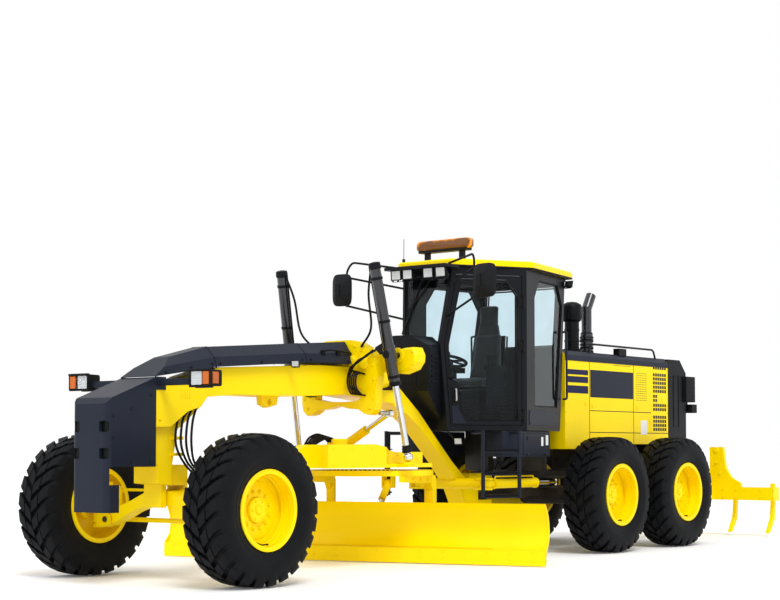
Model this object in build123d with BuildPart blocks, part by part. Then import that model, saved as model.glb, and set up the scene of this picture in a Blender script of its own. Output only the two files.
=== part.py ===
"""Motor grader: an articulated six-wheeled machine with a blade under a gooseneck frame.

Working axes while modelling: X = 0 at the front axle and +X forwards, +Y to the machine's left,
Z = 0 on the ground. Every piece is moved by the same amount on export, so that the origin is
the middle of the whole machine's footprint on the ground.
"""
from build123d import *
import os
from math import atan2, cos, radians, sin

# ---------------------------------------------------------------- driving dimensions (mm)
SIDES = {"left": 1, "right": -1}

TYRE_R = 640            # over the tread
TYRE_W = 445
TRACK = 2060            # between tyre centres
HUB_Z = TYRE_R          # the tyres touch the ground
RIM_BORE_R = 300        # inside of the rim barrel
RIM_SEAT_R = 316
FLANGE_R = 338
HUB_BORE_R = 60.3
CAP_END = 74            # outboard end of the hub cap
SPINDLE_R = 60
DISC_W = 22             # back of the wheel disc, outboard of the tyre centre

TANDEM_X = -6495        # centre of the rear wheel pairs
TANDEM_PITCH = 1525     # between the two rear wheels of a side
HINGE_X = -4800         # articulation pin

LEAN_Y, LEAN_Z = 680, 520       # lean pins at the axle's ends
KINGPIN_Y = 860
STEER_ARM = 170                 # length of the steering arms
TIE_Z = 560
LEAN_BAR_Z = 780

FRAME_HALF = 150                # gooseneck half width
LEG_HALF = 110                  # rear leg half width
NOSE_X = 870                    # push plate's front face
NOSE_HALF = 220

BALL = (-330, 0, 700)           # drawbar ball
CIRCLE_X = -2760                # circle centre
CIRCLE_R = 680
CIRCLE_TOP = 935
CIRCLE_LOW = 880
BLADE_TURN = 16.2               # blade angle as parked, left end trailing
BLADE_LEN = 4208
BLADE_SHIFT = -262              # side shift as parked, to the right
BLADE_EDGE = -115               # cutting edge behind the circle centre
BLADE_ARC_R = 432
TIP_PIVOT = (-400, 260)         # tip pivot behind and above the cutting edge (x, z)

LIFT_TRUNNION = (-2340, 646, 2050)
LIFT_TOP = (-2152, 597, 2930)
LIFT_BALL = (-2550, 700, 1067)
LIFT_TUBE_R, LIFT_ROD_R = 52, 32

SHIFT_BASE = (-2660, -400, 1065)     # centre-shift cylinder on the drawbar
SHIFT_EYE = (-2600, 430, 1495)        # its rod's eye below the lifter

ARTIC_Y, ARTIC_Z = 500, 775
ARTIC_FRONT_X, ARTIC_REAR_X = -4192, -5525

CAB_A = (-3745, 292), (-3685, 250), (-3800, 330)     # front corners: sill, knee, top (x, half y)
CAB_B = (-4484, 800)
CAB_C = (-5451, 600), (-5536, 582), (-5618, 565)     # rear corners: sill, knee, top
CAB_SILL, CAB_KNEE, CAB_TOP = 1370, 2237, 3070
CAB_WALL = 60
COWL_RIDGE = 2322
COWL_ENDS = (-3740, 216, 1440, 2236), (-3340, 347, 1740, 2210)     # x, half width, low z, side z

HOOD_HALF = 600
HOOD_FRONT, HOOD_REAR, GUARD_REAR = -5555, -7932, -8400
GUARD_LOW, HOOD_TOP = 1010, 2250
SKIRT_LOW = 1060        # hood's skirt between the rear wheels

RIPPER_PIVOT = (-8520, 560)
RIPPER_EYE = (-9450, 1168)
RIPPER_BASE = (-8520, 1290)
RIPPER_BEAM_X = -9790
RIPPER_HALF = 1150
SHANK_PITCH = 534

PIN_GAP = 0.3           # radial room of pins in their holes

pieces = {}


# ---------------------------------------------------------------- helpers
def block(x0, x1, y0, y1, z0, z1, mode=Mode.ADD):
    """A box between two corners, added to the part being built."""
    with Locations(((x0 + x1) / 2, (y0 + y1) / 2, (z0 + z1) / 2)):
        Box(abs(x1 - x0), abs(y1 - y0), abs(z1 - z0), mode=mode)


def rod(start, end, radius, mode=Mode.ADD):
    """A round bar between two points."""
    run = Vector(*end) - Vector(*start)
    with BuildSketch(Plane(origin=start, z_dir=run)) as section:
        Circle(radius)
    extrude(section.sketch, amount=run.length, mode=mode)


def slab(plane, points, thickness, mode=Mode.ADD):
    """A flat plate from its outline."""
    with BuildSketch(plane) as outline:
        with BuildLine():
            Polyline(*points, close=True)
        make_face()
    extrude(outline.sketch, amount=thickness, mode=mode)


def turned(plane, points, axis, mode=Mode.ADD):
    """A body of revolution from its half section."""
    with BuildSketch(plane) as outline:
        with BuildLine():
            Polyline(*points, close=True)
        make_face()
    revolve(outline.sketch, axis=axis, mode=mode)


def from_left(y):
    """Sketch plane at y: local (X, Z), extrudes towards the machine's right."""
    return Plane(origin=(0, y, 0), x_dir=(1, 0, 0), z_dir=(0, -1, 0))


def from_front(x):
    """Sketch plane at x: local (Y, Z), extrudes forwards."""
    return Plane(origin=(x, 0, 0), x_dir=(0, 1, 0), z_dir=(1, 0, 0))


def from_top(z):
    """Sketch plane at z: local (X, Y), extrudes upwards."""
    return Plane(origin=(0, 0, z))


def eye_plate(plane, spots, thickness, mode=Mode.ADD):
    """A plate that is the hull of circles: spots are (x, y, radius)."""
    with BuildSketch(plane) as outline:
        for x, y, radius in spots:
            with Locations((x, y)):
                Circle(radius)
        make_hull()
    extrude(outline.sketch, amount=thickness, mode=mode)


def along(a, b, distance):
    """The point at a distance from a towards b."""
    return tuple(Vector(*a) + (Vector(*b) - Vector(*a)).normalized() * distance)


def mirrored(point, side):
    return (point[0], side * point[1], point[2])


def keep(name, builder):
    pieces[name] = builder.part


# ---------------------------------------------------------------- wheels
def wheel_axes(x, side):
    """Sketch plane of a wheel's half section (outboard, radius) and its axis."""
    centre = (x, side * TRACK / 2, HUB_Z)
    section = Plane(origin=centre, x_dir=(0, side, 0), z_dir=(side, 0, 0))
    return section, Axis(centre, (0, side, 0))


def tyre(x, side):
    section, axis = wheel_axes(x, side)
    half = TYRE_W / 2
    seat = 186
    with BuildPart() as ring:
        with BuildSketch(section):
            with BuildLine():
                Line((-seat, RIM_SEAT_R + 1), (seat, RIM_SEAT_R + 1))
                Line((seat, RIM_SEAT_R + 1), (seat, FLANGE_R + 4))
                ThreePointArc((seat, FLANGE_R + 4), (half, 480), (205, TYRE_R - 42))
                Line((205, TYRE_R - 42), (180, TYRE_R - 10))
                ThreePointArc((180, TYRE_R - 10), (0, TYRE_R), (-180, TYRE_R - 10))
                Line((-180, TYRE_R - 10), (-205, TYRE_R - 42))
                ThreePointArc((-205, TYRE_R - 42), (-half, 480), (-seat, FLANGE_R + 4))
                Line((-seat, FLANGE_R + 4), (-seat, RIM_SEAT_R + 1))
            make_face()
        revolve(axis=axis)
    return ring


def rim(x, side):
    section, axis = wheel_axes(x, side)
    outline = [
        (-60, HUB_BORE_R), (-60, 130), (DISC_W, 130), (DISC_W, RIM_BORE_R), (-200, RIM_BORE_R),
        (-200, FLANGE_R), (-187, FLANGE_R), (-187, RIM_SEAT_R), (187, RIM_SEAT_R),
        (187, FLANGE_R), (200, FLANGE_R), (200, RIM_BORE_R), (DISC_W + 16, RIM_BORE_R),
        (DISC_W + 16, 106), (CAP_END, 106), (CAP_END, 0), (60, 0), (60, HUB_BORE_R)]
    with BuildPart() as wheel:
        turned(section, outline, axis)
    return wheel


WHEELS = {
    "front_left": (0, 1), "front_right": (0, -1),
    "middle_left": (TANDEM_X + TANDEM_PITCH / 2, 1),
    "middle_right": (TANDEM_X + TANDEM_PITCH / 2, -1),
    "rear_left": (TANDEM_X - TANDEM_PITCH / 2, 1),
    "rear_right": (TANDEM_X - TANDEM_PITCH / 2, -1)}

for place, (wheel_x, wheel_side) in WHEELS.items():
    keep("tyre_" + place, tyre(wheel_x, wheel_side))
    keep("rim_" + place, rim(wheel_x, wheel_side))

# ---------------------------------------------------------------- front frame (gooseneck)
BEAM_LINE = [       # side outline of the beam and the front leg (x, z)
    (66, 830), (231, 850), (231, 1010), (835, 1010), (835, 1370), (323, 1560), (-200, 1790),
    (-513, 1876), (-1877, 1949), (-2950, 1945), (-3060, 1860), (-3060, 1600), (-2256, 1672),
    (-685, 1631), (-330, 1605), (-298, 1534), (10, 1311), (66, 1000)]
LEG_LINE = [        # side outline of the rear leg
    (-2900, 1945), (-3180, 1760), (-3500, 1527), (-3740, 1310), (-4070, 1020), (-4420, 760),
    (-4560, 690), (-4560, 540), (-4330, 540), (-4200, 760), (-3940, 1015), (-3540, 1349),
    (-3300, 1500), (-3000, 1606), (-2800, 1640)]
EAR_R = 104
HINGE_PIN_R = 45
with BuildPart() as front_frame:
    slab(from_left(FRAME_HALF), BEAM_LINE, 2 * FRAME_HALF)
    slab(from_left(LEG_HALF), LEG_LINE, 2 * LEG_HALF)
    # upper and lower articulation ears
    for low, high in ((540, 590), (830, 880)):
        eye_plate(from_top(low), [(HINGE_X, 0, EAR_R), (-4440, -82, 20), (-4440, 82, 20)],
                  high - low)
    block(-4560, -4400, -LEG_HALF, LEG_HALF, 560, 860)
    for low in (540, 830):
        rod((HINGE_X, 0, low), (HINGE_X, 0, low + 50), HINGE_PIN_R + PIN_GAP, Mode.SUBTRACT)
    # clevises of the articulation cylinders on a cross tube
    rod((ARTIC_FRONT_X, -430, ARTIC_Z), (ARTIC_FRONT_X, 430, ARTIC_Z), 60)
    for side in SIDES.values():
        for low in (ARTIC_Z - 65, ARTIC_Z + 40):
            eye_plate(from_top(low), [(ARTIC_FRONT_X, side * ARTIC_Y, 48),
                                      (ARTIC_FRONT_X, side * 400, 60)], 25)
        rod((ARTIC_FRONT_X, side * ARTIC_Y, ARTIC_Z - 65), (ARTIC_FRONT_X, side * ARTIC_Y, ARTIC_Z + 65),
            24)
        block(ARTIC_FRONT_X - 70, ARTIC_FRONT_X + 70, side * (ARTIC_Y - 55), side * (ARTIC_Y + 60),
              ARTIC_Z - 39.5, ARTIC_Z + 39.5, Mode.SUBTRACT)
        rod((ARTIC_FRONT_X, side * ARTIC_Y, ARTIC_Z - 65), (ARTIC_FRONT_X, side * ARTIC_Y, ARTIC_Z + 65),
            24)
    # saddle over the axle, its pivot pin and the drawbar ball's bracket
    block(-160, 150, -110, 110, 830, 1010)
    block(-160, -125, -110, 110, 640, 840)
    block(95, 150, -110, 110, 640, 840)
    rod((-160, 0, 690), (150, 0, 690), 40)
    block(-262, -125, -75, 75, 650, 750)
    # clevis lug below the beam
    slab(from_left(30), [(-1180, 1680), (-1430, 1680), (-1400, 1560), (-1270, 1530), (-1190, 1560)], 60)
    rod((-1300, 31, 1585), (-1300, -31, 1585), 28, Mode.SUBTRACT)
keep("front_frame", front_frame)

# nose guard: push plate, side plates and sloping top
NOSE_WALL = 22
with BuildPart() as nose_guard:
    slab(from_left(NOSE_HALF), [
        (NOSE_X, 619), (NOSE_X, 1520), (NOSE_X - 50, 1572), (323, 1758), (323, 996), (735, 996),
        (735, 619)], 2 * NOSE_HALF)
    corners = nose_guard.edges().filter_by(Axis.Z).group_by(Axis.X)[-1]
    fillet(corners, 55)
    slab(from_left(NOSE_HALF - NOSE_WALL), [
        (NOSE_X - 32, 500), (NOSE_X - 32, 1505), (NOSE_X - 70, 1548), (200, 1788), (200, 500)],
         2 * (NOSE_HALF - NOSE_WALL), Mode.SUBTRACT)
    # the sides are open between the plate's foot and the cheeks
    block(700, NOSE_X - 32, -NOSE_HALF - 10, NOSE_HALF + 10, 848, 996, Mode.SUBTRACT)
    # four holes for a counterweight's hooks
    with BuildSketch(from_front(NOSE_X - 60)) as hooks:
        with Locations(*((y, z) for y in (-165, 165) for z in (1109, 1332))):
            RectangleRounded(90, 90, 16)
    extrude(hooks.sketch, amount=90, mode=Mode.SUBTRACT)
keep("nose_guard", nose_guard)

# top covers: a ridged hood over the beam
LIFTER_BACK, LIFTER_FRONT = -2440, -2330
COVER_STATIONS = [      # x at the edge, x at the ridge, ridge z, edge z, half width
    (340, 60, 1945, 1760, 215), (-406, -406, 2056, 1872, 215), (-1620, -1620, 2148, 1960, 215),
    (LIFTER_FRONT + 6, LIFTER_FRONT + 6, 2198, 1975, 206)]
with BuildPart() as top_cover:
    for (x0, u0, ridge0, edge0, half0), (x1, u1, ridge1, edge1, half1) in zip(COVER_STATIONS,
                                                                              COVER_STATIONS[1:]):
        ends = []
        for x, u, ridge, edge, half in ((x0, u0, ridge0, edge0, half0), (x1, u1, ridge1, edge1, half1)):
            slope = atan2(x - u, ridge - edge)      # the front end leans back
            lean = 1 / cos(slope)
            tilted = Plane(origin=(x, 0, edge), x_dir=(0, 1, 0), z_dir=(cos(slope), 0, sin(slope)))
            with BuildSketch(tilted) as end:
                with BuildLine():
                    Polyline((-half, 0), (-half + 25, 90 * lean), (-90, (ridge - edge) * lean),
                             (90, (ridge - edge) * lean), (half - 25, 90 * lean), (half, 0), close=True)
                make_face()
            ends.append(end.sketch)
        loft(ends, ruled=True)
    slab(from_left(160), [(420, 1700), (60, 1775), (-200, 1800), (-513, 1881), (-1877, 1954), (-3000, 1952),
                          (-3000, 1200), (420, 1200)], 320, Mode.SUBTRACT)
keep("top_cover", top_cover)

# ---------------------------------------------------------------- lifter and its cylinders
LIFTER_LINE = [         # half outline of the lifter's plate (y, z), from the top downwards
    (150, 2214), (263, 2190), (353, 2141), (430, 2074), (478, 1975), (496, 1850), (470, 1720), (474, 1600),
    (455, 1520), (400, 1474), (330, 1488), (260, 1530), (134, 1540), (0, 1572)]
HOUSING_LINE = [        # outline of a trunnion housing (y, z)
    (430, 2060), (608, 2092), (716, 2122), (828, 2126), (866, 2052), (860, 1984), (804, 1912), (668, 1872),
    (430, 1900)]
HOUSING_FRONT = -2462
with BuildPart() as lifter:
    plate_line = LIFTER_LINE + [(-y, z) for y, z in reversed(LIFTER_LINE[:-1])]
    slab(from_front(LIFTER_BACK), plate_line, LIFTER_FRONT - LIFTER_BACK)
    # the beam passes through, with a gap below it
    slab(from_front(LIFTER_BACK - 10), [
        (-FRAME_HALF - 1, 1953), (FRAME_HALF + 1, 1953), (FRAME_HALF + 1, 1760), (300, 1730), (320, 1660),
        (230, 1612), (60, 1606), (-150, 1612), (-300, 1640), (-300, 1730), (-FRAME_HALF - 1, 1760)],
         LIFTER_FRONT - LIFTER_BACK + 20, Mode.SUBTRACT)
    for side in SIDES.values():
        # trunnion housing behind the lift cylinder, on an arm from the plate
        slab(from_front(HOUSING_FRONT - 150), [(side * y, z) for y, z in HOUSING_LINE], 150)
        block(HOUSING_FRONT - 150, LIFTER_BACK + 40, side * 330, side * 475, 1895, 2062)
        rod((HOUSING_FRONT - 110, side * LIFT_TRUNNION[1], LIFT_TRUNNION[2]),
            (HOUSING_FRONT + 10, side * LIFT_TRUNNION[1], LIFT_TRUNNION[2]), 28 + PIN_GAP, Mode.SUBTRACT)
    rims = lifter.faces().filter_by(lambda f: abs(f.center().X - HOUSING_FRONT) < 1)
    chamfer(rims.edges().filter_by(lambda e: abs(e.center().Y) > 500 and e.geom_type == GeomType.LINE), 22)
keep("lifter", lifter)

for side_name, side in SIDES.items():
    top, trunnion, ball = (mirrored(p, side) for p in (LIFT_TOP, LIFT_TRUNNION, LIFT_BALL))
    tube_foot = along(top, ball, 1185)
    with BuildPart() as tube:
        rod(top, tube_foot, LIFT_TUBE_R)
        rod(along(top, ball, 820), along(top, ball, 980), 62)
        rod((HOUSING_FRONT - 105, *trunnion[1:]), (trunnion[0] + 66, *trunnion[1:]), 28)
        rod(along(top, ball, 60), along(top, ball, 1300), LIFT_ROD_R + PIN_GAP, Mode.SUBTRACT)
    keep("lift_cylinder_" + side_name, tube)
    with BuildPart() as lift_rod:
        rod(along(top, ball, 600), ball, LIFT_ROD_R)
        with Locations(ball):
            Sphere(48)
    keep("lift_rod_" + side_name, lift_rod)

# ---------------------------------------------------------------- front axle and steering
with BuildPart() as front_axle:
    half_outline = [(0, 790), (150, 780), (339, 700), (560, 620), (LEAN_Y, 580), (LEAN_Y, 462),
                    (560, 500), (339, 598), (150, 655), (0, 660)]
    outline = half_outline + [(-y, z) for y, z in reversed(half_outline[1:-1])]
    slab(from_front(-75), outline, 150)
    for side in SIDES.values():
        block(-90, -54, side * 575, side * 800, 400, 700, Mode.SUBTRACT)
        block(54, 90, side * 575, side * 800, 400, 700, Mode.SUBTRACT)
        rod((-54, side * LEAN_Y, LEAN_Z), (54, side * LEAN_Y, LEAN_Z), 60)
        rod((-82, side * LEAN_Y, LEAN_Z), (82, side * LEAN_Y, LEAN_Z), 30)
    rod((-80, 0, 690), (80, 0, 690), 40 + PIN_GAP, Mode.SUBTRACT)
keep("front_axle", front_axle)

for side_name, side in SIDES.items():
    lean_pin = (side * LEAN_Y, LEAN_Z)
    with BuildPart() as yoke:
        # ears before and behind the axle's end
        eye_plate(from_front(60), [(*lean_pin, 60), (side * 775, 480, 25), (side * 775, 640, 25)], 20)
        eye_plate(from_front(-80), [(*lean_pin, 60), (side * 775, 480, 25), (side * 775, 780, 25),
                                    (side * LEAN_Y, LEAN_BAR_Z, 38)], 20)
        # kingpin carrier
        block(-80, 80, side * 760, side * 800, 445, 850)
        for low, high in ((445, 480), (820, 850)):
            eye_plate(from_top(low), [(0, side * KINGPIN_Y, 50), (-45, side * 775, 15),
                                      (45, side * 775, 15)], high - low)
            rod((0, side * KINGPIN_Y, low), (0, side * KINGPIN_Y, high), 30 + PIN_GAP, Mode.SUBTRACT)
        for x in (55, -85):
            rod((x, side * LEAN_Y, LEAN_Z), (x + 30, side * LEAN_Y, LEAN_Z), 30 + PIN_GAP, Mode.SUBTRACT)
        rod((-80, side * LEAN_Y, LEAN_BAR_Z), (-118, side * LEAN_Y, LEAN_BAR_Z), 18)
        # room for the steering arm at full lock
        block(-95, -5, side * 722, side * 805, TIE_Z - 32, TIE_Z + 32, Mode.SUBTRACT)
    keep("lean_yoke_" + side_name, yoke)
    with BuildPart() as knuckle:
        rod((0, side * KINGPIN_Y, 486), (0, side * KINGPIN_Y, 814), 48)
        rod((0, side * KINGPIN_Y, 447), (0, side * KINGPIN_Y, 848), 30)
        rod((0, side * KINGPIN_Y, HUB_Z), (0, side * 1088, HUB_Z), SPINDLE_R)
        rod((0, side * 900, HUB_Z), (0, side * 962, HUB_Z), 85)
        block(-STEER_ARM, 0, side * (KINGPIN_Y - 25), side * (KINGPIN_Y + 25), TIE_Z - 16, TIE_Z + 16)
        rod((-STEER_ARM, side * KINGPIN_Y, TIE_Z - 16), (-STEER_ARM, side * KINGPIN_Y, TIE_Z + 16), 28)
        rod((-STEER_ARM, side * KINGPIN_Y, TIE_Z - 16), (-STEER_ARM, side * KINGPIN_Y, TIE_Z - 72), 14)
    keep("steering_knuckle_" + side_name, knuckle)

with BuildPart() as lean_bar:
    rod((-100, -LEAN_Y + 30, LEAN_BAR_Z), (-100, LEAN_Y - 30, LEAN_BAR_Z), 13)
    for side in SIDES.values():
        rod((-113, side * LEAN_Y, LEAN_BAR_Z), (-87, side * LEAN_Y, LEAN_BAR_Z), 32)
    for side in SIDES.values():
        rod((-120, side * LEAN_Y, LEAN_BAR_Z), (-80, side * LEAN_Y, LEAN_BAR_Z), 18 + PIN_GAP,
            Mode.SUBTRACT)
keep("lean_bar", lean_bar)

# the tie rod hangs below the steering arms on ball studs
TIE_LOW = TIE_Z - 48
with BuildPart() as tie_rod_end:
    rod((-STEER_ARM, KINGPIN_Y, TIE_LOW - 20), (-STEER_ARM, KINGPIN_Y, TIE_LOW + 20), 26)
    rod((-STEER_ARM, KINGPIN_Y, TIE_LOW - 24), (-STEER_ARM, KINGPIN_Y, TIE_LOW + 24), 14 + PIN_GAP,
        Mode.SUBTRACT)
    rod((-STEER_ARM, KINGPIN_Y - 22, TIE_LOW), (-STEER_ARM, KINGPIN_Y - 75, TIE_LOW), 14)
keep("tie_rod_end", tie_rod_end)
with BuildPart() as tie_rod:
    rod((-STEER_ARM, -KINGPIN_Y + 24, TIE_LOW), (-STEER_ARM, KINGPIN_Y - 80, TIE_LOW), 22)
    # the right eye is a short slot, since the studs come nearer as the wheels lean
    for y in (-KINGPIN_Y, -KINGPIN_Y + 14):
        rod((-STEER_ARM, y, TIE_LOW - 20), (-STEER_ARM, y, TIE_LOW + 20), 28)
    for y in (-KINGPIN_Y, -KINGPIN_Y + 14):
        rod((-STEER_ARM, y, TIE_LOW - 24), (-STEER_ARM, y, TIE_LOW + 24), 20, Mode.SUBTRACT)
keep("tie_rod", tie_rod)

# ---------------------------------------------------------------- drawbar, circle and blade
with BuildPart() as drawbar_ball:
    with Locations(BALL):
        Sphere(60)
    rod((BALL[0], 0, BALL[2] - 75), (BALL[0], 0, BALL[2] + 75), 25)
keep("drawbar_ball", drawbar_ball)

DRAWBAR_TOP = [(-400, 110, 640, 760), (-1443, 335, 965, 1185), (-2150, 560, 965, 1190)]
with BuildPart() as drawbar:
    # two arms of box section from the ball to the cross plate: x, y, low z, high z
    for side in SIDES.values():
        for (x0, y0, low0, high0), (x1, y1, low1, high1) in zip(DRAWBAR_TOP, DRAWBAR_TOP[1:]):
            with BuildSketch(from_front(x1)) as back:
                with Locations((side * y1, (low1 + high1) / 2)):
                    Rectangle(120, high1 - low1)
            with BuildSketch(from_front(x0)) as front:
                with Locations((side * y0, (low0 + high0) / 2)):
                    Rectangle(100, high0 - low0)
            loft([back.sketch, front.sketch], ruled=True)
    # head that holds the ball from both sides
    block(-440, -396, -160, 160, 640, 760)
    for side in SIDES.values():
        block(-440, -290, side * 66, side * 100, 655, 745)
    # cross plate over the circle, with side cheeks
    slab(from_top(965), [(-1900, -560), (-1900, 560), (-2300, 625), (-3040, 625), (-3040, -625),
                         (-2300, -625)], 40)
    # side cheeks that step inwards beside the lift cylinders' balls
    for side in SIDES.values():
        slab(from_top(965), [(x, side * y) for x, y in (
            (-1443, 625), (-1443, 565), (-2290, 565), (-2480, 455), (-3040, 455), (-3040, 505), (-2500, 505),
            (-2310, 625))], 225)
    slab(from_left(700), [(-1400, 1185), (-2150, 1190), (-2600, 1115), (-3100, 1115), (-3100, 1250),
                          (-1400, 1250)], 1400, Mode.SUBTRACT)
    block(-3040, -2980, -500, 500, 965, 1114)
    # ears of the centre-shift cylinder
    for x in (SHIFT_BASE[0] - 95, SHIFT_BASE[0] + 75):
        block(x, x + 20, SHIFT_BASE[1] - 50, SHIFT_BASE[1] + 50, 1000, SHIFT_BASE[2] + 45)
keep("drawbar", drawbar)


GROUP = Plane(origin=(CIRCLE_X, 0, 0), x_dir=(cos(radians(BLADE_TURN)), sin(radians(BLADE_TURN)), 0),
              z_dir=(0, 0, 1))


def turned_in(builder):
    """Moves a piece drawn about its own origin into the turned blade frame."""
    return builder.part.moved(GROUP.location)


ARM_Y = 560             # the circle's side arms
ARM_LINE = [(430, 880), (430, 820), (-290, 800), (-345, 730), (-345, 330), (-455, 330), (-455, 820),
            (-420, 880)]
with BuildPart() as circle_drawn:
    with BuildSketch(from_top(CIRCLE_LOW)):
        Circle(CIRCLE_R)
        Circle(CIRCLE_R - 120, mode=Mode.SUBTRACT)
    extrude(amount=CIRCLE_TOP - CIRCLE_LOW)
    for side in SIDES.values():
        slab(from_left(side * ARM_Y + 30), ARM_LINE, 60)
        eye_plate(from_left(side * ARM_Y + 30), [(*TIP_PIVOT, 58), (TIP_PIVOT[0], 340, 56)], 60)
        rod((TIP_PIVOT[0], side * ARM_Y - 31, TIP_PIVOT[1]), (TIP_PIVOT[0], side * ARM_Y + 31, TIP_PIVOT[1]),
            35 + PIN_GAP, Mode.SUBTRACT)
    # bracket of the tip cylinder
    for y in (-60, 40):
        block(-660, -560, y, y + 20, 740, CIRCLE_LOW + 10)
pieces["circle"] = turned_in(circle_drawn)

TIP_BASE = (-610, 0, 790)
TIP_EYE = (-345, 0, 560)
RAILS = [(-284, -222, 500), (-272, -150, 150)]      # back, front, middle height
SHIFT_AXIS = (-294, 330)        # side-shift cylinder behind the blade (x, z)
with BuildPart() as carrier_drawn:
    rod((TIP_PIVOT[0], -ARM_Y - 70, TIP_PIVOT[1]), (TIP_PIVOT[0], ARM_Y + 70, TIP_PIVOT[1]), 35)
    for side in SIDES.values():
        # bearing plates inside the arms, with hooks over the rails
        y = side * (ARM_Y - 75)
        eye_plate(from_left(y + 25), [(*TIP_PIVOT, 55), (-325, 500, 28), (-312, 150, 28)], 50)
        for back, _, z in RAILS:
            for low in (z - 45, z + 28):
                block(back - 30, back + 28, y - 25, y + 25, low, low + 17)
        block(-340, -264, y - 25, y + 25, 480, 545)
        block(-342, -286, y - 25, y + 25, 100, 200)
        block(RAILS[0][0] - 6, -200, y - 30, y + 30, 473, 527, Mode.SUBTRACT)
        rod((SHIFT_AXIS[0], y - 30, SHIFT_AXIS[1]), (SHIFT_AXIS[0], y + 30, SHIFT_AXIS[1]), 30,
            Mode.SUBTRACT)
    slab(from_left(500), [(-385, 300), (-400, 500), (-370, 515), (-350, 500), (-350, 300)], 1000)
    block(-420, -340, -39, 39, 430, 520, Mode.SUBTRACT)
    for y in (-60, 40):
        eye_plate(from_left(y + 20), [(TIP_EYE[0], TIP_EYE[2], 36), (-375, 470, 25)], 20)
    # side-shift cylinder's tube
    rod((SHIFT_AXIS[0], -870, SHIFT_AXIS[1]), (SHIFT_AXIS[0], 890, SHIFT_AXIS[1]), 34)
    rod((SHIFT_AXIS[0], -900, SHIFT_AXIS[1]), (SHIFT_AXIS[0], 860, SHIFT_AXIS[1]), 20 + PIN_GAP,
        Mode.SUBTRACT)
pieces["blade_carrier"] = turned_in(carrier_drawn)

with BuildPart() as tip_tube_drawn:
    rod(along(TIP_BASE, TIP_EYE, 0), along(TIP_BASE, TIP_EYE, 250), 38)
    rod((TIP_BASE[0], -38, TIP_BASE[2]), (TIP_BASE[0], 38, TIP_BASE[2]), 40)
    rod(along(TIP_BASE, TIP_EYE, 45), along(TIP_BASE, TIP_EYE, 260), 20 + PIN_GAP, Mode.SUBTRACT)
pieces["tip_cylinder"] = turned_in(tip_tube_drawn)
with BuildPart() as tip_rod_drawn:
    rod(along(TIP_BASE, TIP_EYE, 80), TIP_EYE, 20)
    rod((TIP_EYE[0], -32, TIP_EYE[2]), (TIP_EYE[0], 32, TIP_EYE[2]), 32)
pieces["tip_rod"] = turned_in(tip_rod_drawn)

BLADE_MID = BLADE_SHIFT
HALF = BLADE_LEN / 2
with BuildPart() as moldboard_drawn:
    # rolled plate: arcs of the front and back faces
    low, high, mid = (-112, 120), (-85, 612), (-226, 340)
    with BuildSketch(from_left(BLADE_MID + HALF)) as roll:
        with BuildLine():
            ThreePointArc(low, mid, high)
            Line(high, (high[0] - 24, high[1]))
            ThreePointArc((high[0] - 24, high[1]), (mid[0] - 24, mid[1]), (low[0] - 24, low[1]))
            Line((low[0] - 24, low[1]), low)
        make_face()
    extrude(roll.sketch, amount=BLADE_LEN)
    # slide rails on the back
    for back, front, z in RAILS:
        block(back, front, BLADE_MID - 1550, BLADE_MID + 1550, z - 22, z + 22)
    # side-shift rod and its bracket
    rod((SHIFT_AXIS[0], -280, SHIFT_AXIS[1]), (SHIFT_AXIS[0], -2020, SHIFT_AXIS[1]), 20)
    block(SHIFT_AXIS[0] - 28, -235, -2050, -2010, 290, 370)
pieces["moldboard"] = turned_in(moldboard_drawn)

with BuildPart() as edge_drawn:
    slab(from_left(BLADE_MID + HALF), [(-111.5, 10), (-95, 10), (-95, 160), (-111.5, 160)], BLADE_LEN)
pieces["cutting_edge"] = turned_in(edge_drawn)

# centre-shift cylinder between the drawbar and the lifter
with BuildPart() as shift_tube:
    rod(SHIFT_BASE, along(SHIFT_BASE, SHIFT_EYE, 90), 30)
    rod(along(SHIFT_BASE, SHIFT_EYE, 78), along(SHIFT_BASE, SHIFT_EYE, 590), 44)
    rod((SHIFT_BASE[0] - 35, *SHIFT_BASE[1:]), (SHIFT_BASE[0] + 35, *SHIFT_BASE[1:]), 44)
    rod(along(SHIFT_BASE, SHIFT_EYE, 60), along(SHIFT_BASE, SHIFT_EYE, 700), 25 + PIN_GAP, Mode.SUBTRACT)
keep("shift_cylinder", shift_tube)
with BuildPart() as shift_rod:
    rod(along(SHIFT_BASE, SHIFT_EYE, 300), SHIFT_EYE, 25)
    rod((SHIFT_EYE[0] - 26, *SHIFT_EYE[1:]), (SHIFT_EYE[0] + 26, *SHIFT_EYE[1:]), 36)
keep("shift_rod", shift_rod)

# ---------------------------------------------------------------- articulation cylinders
for side_name, side in SIDES.items():
    front_pin = (ARTIC_FRONT_X, side * ARTIC_Y, ARTIC_Z)
    rear_pin = (ARTIC_REAR_X, side * ARTIC_Y, ARTIC_Z)
    with BuildPart() as tube:
        rod(along(front_pin, rear_pin, 20), along(front_pin, rear_pin, 100), 34)
        rod(along(front_pin, rear_pin, 75), along(front_pin, rear_pin, 900), 50)
        rod((*front_pin[:2], ARTIC_Z - 36), (*front_pin[:2], ARTIC_Z + 36), 44)
        rod((*front_pin[:2], ARTIC_Z - 70), (*front_pin[:2], ARTIC_Z + 70), 24 + PIN_GAP, Mode.SUBTRACT)
        rod(along(front_pin, rear_pin, 90), along(front_pin, rear_pin, 950), 26 + PIN_GAP, Mode.SUBTRACT)
    keep("articulation_cylinder_" + side_name, tube)
    with BuildPart() as push_rod:
        rod(along(front_pin, rear_pin, 360), along(front_pin, rear_pin, 1310), 26)
        rod((*rear_pin[:2], ARTIC_Z - 34), (*rear_pin[:2], ARTIC_Z + 34), 44)
    keep("articulation_rod_" + side_name, push_rod)

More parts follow.
